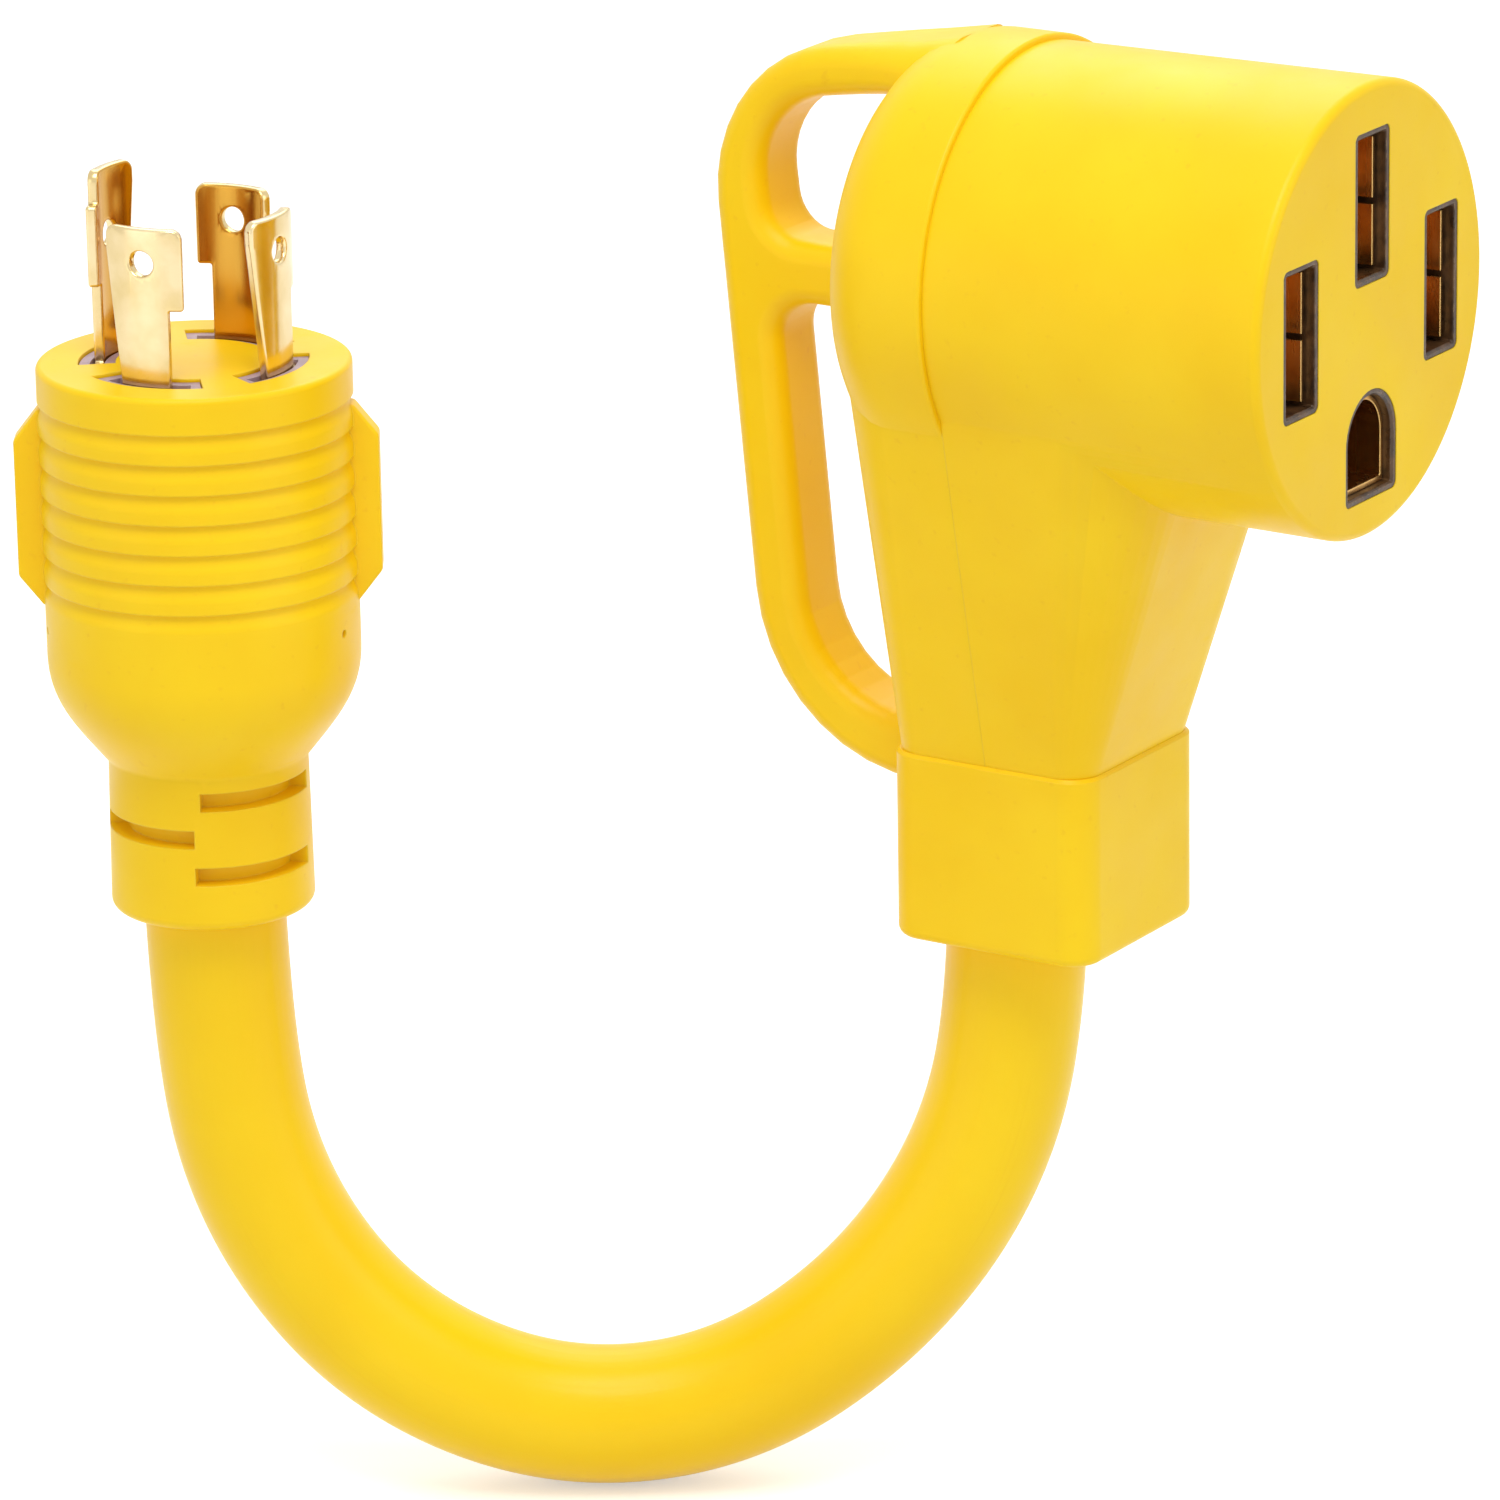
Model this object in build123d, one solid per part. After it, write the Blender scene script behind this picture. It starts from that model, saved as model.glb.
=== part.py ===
"""A short generator adapter cord: a four-pole straight-blade receptacle head with a carrying loop,
a thick four-conductor cord bent into a U, and a four-blade locking plug.

Millimetres. The origin is the centre of the socket face. +X points out of that face along the
barrel's axis, +Z is up and the head is symmetric about Y = 0. The cord leaves the head downwards.
"""

import math
import os

from build123d import *

# ---------------------------------------------------------------- driving dimensions
# Receptacle head
face_radius = 30.0
seam_radius = 29.4
barrel_length = 50.0
face_edge_round = 1.2
face_plate = 6.0
barrel_bore_radius = 25.6
cover_lip = 0.8
cover_depth = 18.0
cover_edge_round = 10.0
cover_wall = 2.4
collar_side = 31.2
collar_corner = 4.5
collar_height = 26.4
collar_bottom_below_axis = 92.0
neck_top_below_axis = 10.0
neck_top_width = 53.4
neck_front_reach = 32.5
neck_front_corner = 16.0
neck_rear_corner = 9.0
neck_wall = 3.0
least_corner = 1.0
collar_foot_round = 1.4

# Sockets in the face
blade_slot_width = 9.2
blade_slot_height = 20.3
hot_slot_offset = 18.7
neutral_slot_rise = 13.9
ground_slot_width = 13.6
ground_slot_height = 14.7
ground_slot_bottom_drop = 25.2
slot_rim = 0.9

# Contacts and their carrier
contact_depth = 22.0
contact_setback = 1.5
contact_metal = 0.9
carrier_length = 30.0
retainer_thickness = 2.0
tail_width = 4.6
tail_metal = 1.4
crimp_radius = 2.5
crimp_length = 8.0
crimp_floor = 1.5

# Carrying loop behind the head
loop_width = 12.0
loop_thickness = 7.0
loop_bottom_thickness = 8.2
loop_front_top = 30.0
loop_top = 22.8
loop_top_reach = 32.0
loop_bottom_reach = 22.9
loop_bottom = -73.4
loop_top_round = 21.4
loop_bottom_round = 26.4
loop_web_top = -0.2
loop_root_depth = 2.0
window_top_round = 10.5
window_small_round = 5.5
window_web_round = 5.0
window_bottom_round = 16.0

# Cord
cord_radius = 9.6
jacket_wall = 2.5
wrap_thickness = 0.2
insulation_radius = 2.6
core_radius = 1.5
lay_radius = 4.0
wire_way_room = 1.6
cord_behind_collar_centre = 4.0
bend_plane_turn = 33.0
bend_share = 0.45

# How the conductors turn down behind the contacts: how far past the cord's line each one turns,
# and how far above the collar's top it has come into its place in the cord
turn_past_cord = {"hot_one": 3.5, "neutral": 5.5, "hot_two": 3.5, "ground": 1.5}
lay_begins = {"hot_one": 4.0, "neutral": -1.0, "hot_two": -5.0, "ground": 20.0}
neutral_side_step = 7.0
neutral_lower_step = 3.6
conductor_bend = 10.0
fan_out_depth = 21.0
crimp_run = 9.0

# Plug
plug_reach = 109.3
plug_face_above_collar_bottom = 80.5
plug_length = 76.0
plug_radius = 21.1
rib_count = 7
rib_pitch = 4.2
rib_height = 1.8
groove_depth = 0.6
face_edge = 0.8
plug_straight = 40.0
relief_length = 21.0
relief_radius = 13.5
relief_flare = 0.2
relief_rim = 1.2
relief_tip = 1.0
shoulder_end_lean = (-0.6, -0.8)
relief_slot_height = 2.5
relief_slot_depth = 2.4
relief_slot_start = 1.6
relief_slot_pitch = 5.2
relief_slot_span = 80.0
relief_slot_turns = (-52.0, -136.0, -56.0)
wing_root = 2.0
wing_reach = 24.4
wing_thickness = 4.0
wing_top = 5.2
wing_bottom = 32.4
wing_chamfer = 4.2
face_skin = 1.2
insert_radius = 17.0
insert_depth = 13.0
insert_ledge = 0.6
chamber_depth = 38.0
window_span = 66.0
window_margin = 1.75

# Blades
blade_circle_radius = 12.9
blade_thickness = 1.5
blade_base_width = 7.0
blade_hook = 2.0
blade_flare = 2.2
blade_shoulder = 3.0
blade_height = 21.4
ground_blade_height = 25.2
notch_height = 9.9
blade_hole_radius = 1.7
blade_hole_height = 16.2
blade_corner = 1.5
first_blade_angle = -115.0
tail_drop = 20.5
tail_shelf = 1.5
tail_radius = 10.5
plug_crimp_length = 9.5

# Clearances
fit_gap = 0.1
wire_gap = 0.1
core_gap = 0.05

# How far a cut runs past a surface, half the depth of the block that a curved blade is cut
# from, and the side of the blocks that halve the head
overcut = 1.0
blade_block = 3.0
half_block = 300.0

# ---------------------------------------------------------------- places worked out from them
neck_x = -barrel_length
cord_x = neck_x - cord_behind_collar_centre
collar_bottom_z = -collar_bottom_below_axis
collar_top_z = collar_bottom_z + collar_height
plug_turn = math.radians(bend_plane_turn)
to_plug = (-math.cos(plug_turn), -math.sin(plug_turn))
plug_face_z = collar_bottom_z + plug_face_above_collar_bottom
plug_x = cord_x + plug_reach * to_plug[0]
plug_y = plug_reach * to_plug[1]
carrier_front_x = -face_plate
carrier_back_x = carrier_front_x - carrier_length
retainer_back_x = carrier_back_x - retainer_thickness
crimp_mouth_x = retainer_back_x - fit_gap - crimp_length
wire_way_radius = lay_radius + insulation_radius + wire_way_room
loop_back_top = barrel_length + cover_depth + loop_top_reach
loop_back_bottom = barrel_length + cover_depth + loop_bottom_reach
conductor_names = ["hot_one", "neutral", "hot_two", "ground"]

os.makedirs("parts", exist_ok=True)


def save(name, shape):
    """Writes one sub-part to its own file."""
    shape.label = name
    export_step(shape, f"parts/{name}.step")


def along_x(sketch, start, end):
    """Extrudes a sketch drawn as (Y, Z) from X = start to X = end."""
    plane = Plane(origin=(start, 0, 0), x_dir=(0, 1, 0), z_dir=(1, 0, 0))
    return extrude(plane * sketch, amount=end - start)


def rod_x(radius, start, end, y=0.0, z=0.0):
    return along_x(Pos(y, z) * Circle(radius), start, end)


def disc_z(radius, low, high):
    return extrude(Plane.XY.offset(low) * Circle(radius), amount=high - low)


def neck_section(rear, front, width, rear_corner, front_corner, height):
    """A level section of the neck: a rectangle with its own front and rear corner rounds."""
    outline = Pos((rear + front) / 2, 0) * Rectangle(front - rear, width)
    outline = fillet(outline.vertices().group_by(Axis.X)[0], rear_corner)
    outline = fillet(outline.vertices().group_by(Axis.X)[-1], front_corner)
    return Plane.XY.offset(height) * outline


# ---------------------------------------------------------------- receptacle head: mouldings
def neck_solid(inset, low):
    """The neck's tapering block from a height up to inside the barrel, drawn in by a wall."""
    half = collar_side / 2 - inset
    corner = max(collar_corner - inset, least_corner)
    bottom = neck_section(neck_x - half, neck_x + half, 2 * half, corner, corner, low)
    top = neck_section(
        neck_x - cover_depth + inset,
        neck_x + neck_front_reach - inset,
        neck_top_width - 2 * inset,
        neck_rear_corner - inset,
        neck_front_corner - inset,
        -neck_top_below_axis,
    )
    return loft([bottom, top])


def cover_dome(radius, back, edge_round):
    dome = rod_x(radius, -back, neck_x)
    rear_edge = dome.edges().group_by(Axis.X)[0]
    return fillet(rear_edge, edge_round)


def head_cavity():
    """The one hollow inside both shells: barrel bore, cover dome and neck."""
    back = barrel_length + cover_depth - cover_wall
    bore = rod_x(barrel_bore_radius, neck_x, carrier_front_x)
    dome = cover_dome(barrel_bore_radius, back, cover_edge_round - cover_wall)
    return bore + dome + neck_solid(neck_wall, collar_top_z)


def socket_outlines(shrink):
    """The four openings in the face as (Y, Z) sketches, drawn in by a margin."""
    width = blade_slot_width - 2 * shrink
    height = blade_slot_height - 2 * shrink
    slot = Rectangle(width, height)
    ground_width = ground_slot_width - 2 * shrink
    low = shrink - ground_slot_bottom_drop
    crown = ground_slot_height - ground_slot_bottom_drop - shrink - ground_width / 2
    ground = Pos(0, (low + crown) / 2) * Rectangle(ground_width, crown - low)
    ground += Pos(0, crown) * Circle(ground_width / 2)
    return {
        "hot_one": Pos(-hot_slot_offset, 0) * slot,
        "neutral": Pos(0, neutral_slot_rise) * slot,
        "hot_two": Pos(hot_slot_offset, 0) * slot,
        "ground": ground,
    }


def loop_plate():
    """The flat carrying loop in the XZ plane, with its web and two windows."""
    inside = neck_x - cover_depth / 2
    slant = Vector(loop_back_top - loop_back_bottom, loop_top - loop_bottom)
    top_slope = (loop_front_top - loop_top) / (inside + loop_back_top)
    inner_top = -loop_back_top + loop_thickness
    inner_bottom = -loop_back_bottom + loop_thickness

    def outline(points, radii):
        path = FilletPolyline(*[Vector(x, z) for x, z in points], radius=radii, close=False)
        closing = Line(path @ 1, path @ 0)
        return make_face(path + closing)

    def back_x(z, top_x):
        return top_x + (loop_top - z) * slant.X / slant.Y

    def ceiling_z(x):
        return loop_front_top + (x - inside) * top_slope - loop_thickness

    outer = outline(
        [
            (inside, loop_front_top),
            (-loop_back_top, loop_top),
            (-loop_back_bottom, loop_bottom),
            (neck_x - collar_side / 2 + loop_root_depth, loop_bottom),
        ],
        [loop_top_round, loop_bottom_round],
    )
    upper = outline(
        [
            (inside, ceiling_z(inside)),
            (inner_top, ceiling_z(inner_top)),
            (back_x(loop_web_top, inner_top), loop_web_top),
            (inside, loop_web_top),
        ],
        [window_top_round, window_small_round],
    )
    web_bottom = loop_web_top - loop_thickness
    lower = outline(
        [
            (inside, web_bottom),
            (back_x(web_bottom, inner_top), web_bottom),
            (inner_bottom, loop_bottom + loop_bottom_thickness),
            (inside, loop_bottom + loop_bottom_thickness),
        ],
        [window_web_round, window_bottom_round],
    )
    plate = outer - upper - lower
    plane = Plane(origin=(0, loop_width / 2, 0), x_dir=(1, 0, 0), z_dir=(0, -1, 0))
    return extrude(plane * plate, amount=loop_width)


def half_of_head(side):
    """A block that fills everything in front of the seam plane (side 1) or behind it (side -1)."""
    return Pos(neck_x + side * half_block / 2, 0, 0) * Box(half_block, half_block, half_block)


def make_front_shell(cavity):
    barrel = Plane.YZ.offset(neck_x) * Circle(seam_radius)
    mouth = Plane.YZ * Circle(face_radius)
    body = loft([barrel, mouth])
    body = fillet(body.edges().group_by(Axis.X)[-1], face_edge_round)
    neck = neck_solid(0, collar_top_z)
    shell = body + (neck & half_of_head(1)) - cavity
    for outline in socket_outlines(0).values():
        shell -= along_x(outline, -face_plate - overcut, overcut)
    return shell


def make_rear_cover(cavity, loop):
    dome = cover_dome(seam_radius + cover_lip, barrel_length + cover_depth, cover_edge_round)
    rear_half = half_of_head(-1)
    neck = neck_solid(0, collar_top_z) & rear_half
    return dome + neck + loop - (cavity & rear_half)


def make_collar(loop):
    """The square collar moulded over the neck's end, the cord and the loop's lower root."""
    half = collar_side / 2
    corner = collar_corner
    foot = neck_section(neck_x - half, neck_x + half, collar_side, corner, corner, collar_bottom_z)
    collar = extrude(foot, amount=collar_height)
    collar = fillet(collar.edges().group_by(Axis.Z)[0], collar_foot_round)
    cord_bore_end = jacket_head_end + core_gap
    cord_bore = disc_z(cord_radius + core_gap, collar_bottom_z - overcut, cord_bore_end)
    wire_bore = disc_z(wire_way_radius, jacket_head_end, collar_top_z + overcut)
    collar -= Pos(cord_x, 0, 0) * (cord_bore + wire_bore)
    root_block = Box(half_block, half_block, 2 * collar_height)
    root = loop & (Pos(neck_x - half_block / 2, 0, collar_bottom_z) * root_block)
    return collar - offset(root, fit_gap)


# ---------------------------------------------------------------- receptacle head: contacts
def crimp_seat(name):
    """Where each contact's crimp barrel lies, as (Y, Z)."""
    seats = {
        "hot_one": (-hot_slot_offset, 0.0),
        "neutral": (0.0, neutral_slot_rise),
        "hot_two": (hot_slot_offset, 0.0),
        "ground": (0.0, ground_slot_height / 2 - ground_slot_bottom_drop),
    }
    return seats[name]


def make_carrier():
    carrier = rod_x(barrel_bore_radius - fit_gap, carrier_back_x, carrier_front_x)
    for outline in socket_outlines(core_gap).values():
        carrier += along_x(outline, carrier_front_x - overcut, 0)
    pocket_end = -contact_setback - contact_depth - fit_gap
    for name, outline in socket_outlines(slot_rim).items():
        carrier -= along_x(outline, pocket_end, overcut)
        y, z = crimp_seat(name)
        way = Pos(y, z) * Rectangle(tail_metal + 2 * fit_gap, tail_width + 2 * fit_gap)
        carrier -= along_x(way, carrier_back_x - overcut, pocket_end + overcut)
    return carrier


def make_retainer():
    plate = rod_x(barrel_bore_radius - fit_gap, retainer_back_x, carrier_back_x)
    for name in conductor_names:
        y, z = crimp_seat(name)
        way = Pos(y, z) * Rectangle(tail_metal + 2 * fit_gap, tail_width + 2 * fit_gap)
        plate -= along_x(way, retainer_back_x - overcut, carrier_back_x + overcut)
    return plate


def make_contact(name):
    """A folded spring clip lining its pocket, with a flat tail and a crimp barrel.

    A slot's clip is two leaves joined at the back, and the ground's is a sleeve.
    """
    y, z = crimp_seat(name)
    margin = slot_rim + fit_gap
    outer = socket_outlines(margin)[name]
    wall = outer - socket_outlines(margin + contact_metal)[name]
    if name != "ground":
        leaf_height = blade_slot_height - 2 * (margin + contact_metal)
        wall &= Pos(y, z) * Rectangle(blade_slot_width, leaf_height)
    back = -contact_setback - contact_depth
    clip = along_x(wall, back, -contact_setback) + along_x(outer, back, back + contact_metal)
    tail_end = retainer_back_x - fit_gap
    clip += along_x(Pos(y, z) * Rectangle(tail_metal, tail_width), tail_end - crimp_floor, back)
    barrel = rod_x(crimp_radius, crimp_mouth_x, tail_end, y, z)
    bore_start = crimp_mouth_x - overcut
    bore = rod_x(core_radius + core_gap, bore_start, tail_end - crimp_floor, y, z)
    return clip + barrel - bore


# ---------------------------------------------------------------- cord: its route and solids
# The cord's line in its own bend plane: how far towards the plug, and how far above the collar's
# bottom. It starts inside the collar and ends inside the plug's strain relief.
cord_points = [
    (0.0, 13.0),
    (0.0, -10.2),
    (5.0, -34.2),
    (19.0, -55.2),
    (40.5, -70.2),
    (66.0, -72.2),
    (89.3, -59.7),
    (104.3, -37.2),
    (plug_reach, -9.2),
    (plug_reach, 18.8),
]
jacket_head_end = collar_bottom_z + cord_points[0][1]
relief_bottom_z = plug_face_z - plug_length
cord_grip = collar_bottom_z + cord_points[-1][1] - relief_bottom_z
plug_crimp_mouth_z = plug_face_z - tail_drop - plug_crimp_length


def cord_corner(index):
    """A corner's half turn, its bisector towards the inside of the bend, and its arc's radius."""
    here = Vector(*cord_points[index])
    arriving = here - Vector(*cord_points[index - 1])
    leaving = Vector(*cord_points[index + 1]) - here
    half_turn = math.radians(arriving.get_angle(leaving)) / 2
    inward = leaving.normalized() - arriving.normalized()
    radius = bend_share * min(arriving.length, leaving.length) / math.tan(half_turn)
    return half_turn, inward.normalized(), radius


def place(along, height, across):
    """A point of the bend plane, moved sideways out of it, in the object's frame."""
    x = cord_x + along * to_plug[0] + across * to_plug[1]
    y = along * to_plug[1] - across * to_plug[0]
    return Vector(x, y, collar_bottom_z + height)


def cord_line(inward=0.0, across=0.0):
    """The cord's corners and arc radii for a line laid beside its centre."""
    points = []
    radii = []
    for index in range(1, len(cord_points) - 1):
        half_turn, bisector, radius = cord_corner(index)
        corner = Vector(*cord_points[index]) + bisector * (inward / math.cos(half_turn))
        points.append(place(corner.X, corner.Y, across))
        radii.append(radius - inward)
    return points, radii


def swept(points, radii, outer, inner=0.0):
    path = FilletPolyline(*points, radius=radii)
    section = Circle(outer)
    if inner > 0:
        section -= Circle(inner)
    start = Plane(origin=points[0], z_dir=points[1] - points[0])
    return sweep(start * section, path=path), path


def through_cord(outer, inner=0.0):
    points, radii = cord_line()
    start = place(cord_points[0][0], cord_points[0][1], 0)
    end = place(cord_points[-1][0], cord_points[-1][1], 0)
    return swept([start, *points, end], radii, outer, inner)


def corner_radii(points):
    """Arc radii for a conductor's short bends, each as large as its runs allow up to a limit."""
    radii = []
    for before, here, after in zip(points, points[1:], points[2:]):
        arriving = here - before
        leaving = after - here
        half_turn = math.radians(arriving.get_angle(leaving)) / 2
        room = bend_share * min(arriving.length, leaving.length) / math.tan(half_turn)
        radii.append(min(room, conductor_bend))
    return radii


def conductor_route(index):
    """One conductor from its head crimp, down through the cord and up to its blade's crimp."""
    name = conductor_names[index]
    angle = math.radians(first_blade_angle + 90 * index)
    points, radii = cord_line(lay_radius * math.cos(angle), lay_radius * math.sin(angle))
    rise = points[0]
    seat_y, seat_z = crimp_seat(name)
    turn_x = cord_x - turn_past_cord[name]
    corners = [Vector(turn_x, seat_y, seat_z)]
    if name == "neutral":
        ground_z = crimp_seat("ground")[1]
        corners.append(Vector(turn_x, -neutral_side_step, ground_z))
        corners.append(Vector(turn_x, -neutral_lower_step, (ground_z + collar_top_z) / 2))
    corners.append(Vector(rise.X, rise.Y, collar_top_z + lay_begins[name]))
    head_end = [Vector(crimp_mouth_x - fit_gap, seat_y, seat_z), *corners, rise]
    drop = points[-1]
    out = math.radians(first_blade_angle + 90 * index) + plug_turn
    spread_x = plug_x + tail_radius * math.cos(out)
    spread_y = plug_y + tail_radius * math.sin(out)
    plug_end = [
        drop,
        Vector(drop.X, drop.Y, plug_crimp_mouth_z - fan_out_depth),
        Vector(spread_x, spread_y, plug_crimp_mouth_z - crimp_run),
        Vector(spread_x, spread_y, plug_crimp_mouth_z - fit_gap),
    ]
    all_radii = corner_radii(head_end) + radii + corner_radii(plug_end)
    return head_end + points[1:] + plug_end[1:], all_radii


def bared(points):
    """A conductor's route with its ends run on into both crimp barrels."""
    head_reach = crimp_length - 2 * crimp_floor
    blade_reach = plug_crimp_length - 2 * crimp_floor
    first = points[0] + Vector(head_reach, 0, 0)
    last = points[-1] + Vector(0, 0, blade_reach)
    return [first, *points[1:-1], last]


# ---------------------------------------------------------------- plug
def at_plug(shape):
    """Moves a shape drawn about the plug's own axis, face at zero height, to its place."""
    return Pos(plug_x, plug_y, plug_face_z) * Rot(0, 0, bend_plane_turn) * shape


def turned(points):
    """Turns a closed (radius, height) outline about the plug's axis."""
    outline = make_face(Polyline(*points, close=True))
    return revolve(Plane.XZ * outline, Axis.Z)


def plug_body():
    """The plug's outside: straight body, rounded shoulder and strain relief, cut by grip grooves."""
    crease = plug_length - relief_length
    top = Polyline(
        (0, 0),
        (plug_radius - face_edge, 0),
        (plug_radius, -face_edge),
        (plug_radius, -plug_straight),
    )
    shoulder = Spline(
        top @ 1,
        (relief_radius, -crease),
        tangents=[(0, -1), shoulder_end_lean],
    )
    relief = Polyline(
        shoulder @ 1,
        (relief_radius + relief_flare, -plug_length + relief_rim),
        (relief_radius - relief_tip, -plug_length),
        (0, -plug_length),
        (0, 0),
    )
    body = revolve(Plane.XZ * make_face(top + shoulder + relief), Axis.Z)
    groove_height = rib_pitch - rib_height
    for rib in range(1, rib_count + 1):
        groove_top = -rib * rib_pitch
        outer = disc_z(plug_radius + overcut, groove_top - groove_height, groove_top)
        body -= outer - disc_z(plug_radius - groove_depth, groove_top - groove_height, groove_top)
    return body


def wings():
    """The two flat grip wings, chamfered above and below."""
    root = plug_radius - wing_root
    outline = Polyline(
        (root, -wing_top),
        (plug_radius, -wing_top),
        (wing_reach, -wing_top - wing_chamfer),
        (wing_reach, -wing_bottom + wing_chamfer),
        (plug_radius, -wing_bottom),
        (root, -wing_bottom),
        close=True,
    )
    plate = extrude(Plane.XZ * make_face(outline), amount=wing_thickness / 2, both=True)
    return plate + mirror(plate, Plane.YZ)


def plug_hollow():
    """The room inside the moulding: the insert's seat, the wires' chamber and the cord's bore."""
    insert_bottom = -face_skin - insert_depth
    chamber_radius = insert_radius - insert_ledge
    cord_bore = cord_radius + core_gap
    cord_end = relief_bottom_z + cord_grip - plug_face_z + core_gap
    return turned(
        [
            (0, -face_skin),
            (insert_radius, -face_skin),
            (insert_radius, insert_bottom),
            (chamber_radius, insert_bottom),
            (chamber_radius, -chamber_depth),
            (wire_way_radius, -plug_length + relief_length),
            (wire_way_radius, cord_end),
            (cord_bore, cord_end),
            (cord_bore, -plug_length - overcut),
            (0, -plug_length - overcut),
        ]
    )


def make_plug_shell():
    shell = plug_body() + wings() - plug_hollow()
    for index in range(4):
        shell -= Rot(0, 0, first_blade_angle + 90 * index) * blade_window()
    for level, turn in enumerate(relief_slot_turns):
        top = relief_length - plug_length - relief_slot_start - level * relief_slot_pitch
        for half in (0, 180):
            shell -= Rot(0, 0, turn + half) * relief_slot(top)
    return at_plug(shell)


def ring_sector(inner, outer, low, high, span):
    """A sector of a ring about the plug's axis, centred on its local +X."""
    ring = disc_z(outer, low, high) - disc_z(inner, low, high)
    reach = 2 * outer
    half = math.radians(span / 2)
    wedge = Polyline(
        (0, 0),
        (reach * math.cos(half), -reach * math.sin(half)),
        (reach * 2, 0),
        (reach * math.cos(half), reach * math.sin(half)),
        close=True,
    )
    return ring & extrude(Plane.XY.offset(low) * make_face(wedge), amount=high - low)


def relief_slot(top):
    inner = relief_radius - relief_slot_depth
    low = top - relief_slot_height
    return ring_sector(inner, relief_radius + overcut, low, top, relief_slot_span)


def blade_window():
    reach = blade_thickness / 2 + window_margin
    inner = blade_circle_radius - reach
    outer = blade_circle_radius + reach
    return ring_sector(inner, outer, -face_skin - overcut / 2, overcut, window_span)


def blade_stem(grow):
    """The part of a blade that passes down through the insert, grown by a clearance."""
    inner = blade_circle_radius - blade_thickness / 2 - grow
    outer = blade_circle_radius + blade_thickness / 2 + grow
    ring = disc_z(outer, -tail_drop, 0) - disc_z(inner, -tail_drop, 0)
    width = blade_base_width + 2 * grow
    block = Box(2 * blade_block, width, tail_drop)
    return ring & (Pos(blade_circle_radius, 0, -tail_drop / 2) * block)


def make_insert():
    insert = disc_z(insert_radius - core_gap, -face_skin - insert_depth, -face_skin)
    for index in range(4):
        insert -= Rot(0, 0, first_blade_angle + 90 * index) * blade_stem(core_gap)
    return at_plug(insert)


def make_blade(index):
    """A blade curved about the plug's axis, with a locking notch, a hole and a crimp tail."""
    name = conductor_names[index]
    height = ground_blade_height if name == "ground" else blade_height
    half = blade_base_width / 2
    hook_top = [(half + blade_hook, blade_height)]
    if height > blade_height:
        hook_top += [(half, blade_height), (half, height)]
    profile = Polyline(
        (-half, 0),
        (half, 0),
        (half, notch_height),
        (half + blade_hook, notch_height),
        *hook_top,
        (-half - blade_flare, height),
        (-half - blade_flare, height - blade_shoulder),
        close=True,
    )
    outline = make_face(profile)
    top_corners = outline.vertices().group_by(Axis.Y)[-1]
    outline = fillet(top_corners, blade_corner)
    block_x = blade_circle_radius - blade_block
    face_on = Plane(origin=(block_x, 0, 0), x_dir=(0, 1, 0), z_dir=(1, 0, 0))
    slab = extrude(face_on * outline, amount=2 * blade_block)
    inner = blade_circle_radius - blade_thickness / 2
    outer = blade_circle_radius + blade_thickness / 2
    blade = slab & (disc_z(outer, 0, height) - disc_z(inner, 0, height))
    blade += blade_stem(0)
    blade -= rod_x(blade_hole_radius, inner - blade_block, outer + blade_block, 0, blade_hole_height)
    shelf_x = (outer + tail_radius) / 2
    shelf_z = -tail_drop - tail_shelf / 2
    blade += Pos(shelf_x, 0, shelf_z) * Box(outer - tail_radius, tail_width, tail_shelf)
    barrel_low = -tail_drop - plug_crimp_length
    barrel = disc_z(crimp_radius, barrel_low, -tail_drop)
    bore = disc_z(core_radius + core_gap, barrel_low - overcut, -tail_drop - crimp_floor)
    blade += Pos(tail_radius, 0, 0) * barrel
    blade -= Pos(tail_radius, 0, 0) * bore
    return at_plug(Rot(0, 0, first_blade_angle + 90 * index) * blade)


# ---------------------------------------------------------------- build every sub-part
cavity = head_cavity()
loop = loop_plate()
save("front_shell", make_front_shell(cavity))
save("rear_cover_with_handle", make_rear_cover(cavity, loop))
save("cord_collar", make_collar(loop))
save("contact_carrier", make_carrier())
save("contact_retainer_plate", make_retainer())

jacket_bore = cord_radius - jacket_wall
jacket, jacket_path = through_cord(cord_radius, jacket_bore)
save("cord_jacket", jacket)
wrap, wrap_path = through_cord(jacket_bore - wire_gap, jacket_bore - wire_gap - wrap_thickness)
save("conductor_wrap", wrap)
filler_radius = lay_radius - insulation_radius - wire_gap
filler, filler_path = through_cord(filler_radius)
save("centre_filler", filler)

for index, name in enumerate(conductor_names):
    save(f"{name}_socket_contact", make_contact(name))
    save(f"{name}_plug_blade", make_blade(index))
    points, radii = conductor_route(index)
    insulation, path = swept(points, radii, insulation_radius, core_radius + core_gap)
    save(f"{name}_wire_insulation", insulation)
    core, path = swept(bared(points), radii, core_radius)
    save(f"{name}_wire_core", core)

save("plug_shell", make_plug_shell())
save("plug_blade_insert", make_insert())

# ---------------------------------------------------------------- the cord's figures
radii = cord_line()[1]
section = math.pi * (cord_radius**2 - jacket_bore**2)
print("cord arc radii:", [round(radius, 1) for radius in radii])
print("cord length:", round(jacket_path.length, 1))
print("jacket volume over section times length:", jacket.volume / (section * jacket_path.length))
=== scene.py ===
"""A short generator adapter cord: a receptacle head with a carrying loop, a thick cord bent into a U,
and a four-blade locking plug. Metres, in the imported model's own frame.
"""

import math

import bmesh
import bpy
from mathutils import Matrix, Vector
from mathutils.geometry import interpolate_bezier


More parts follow.
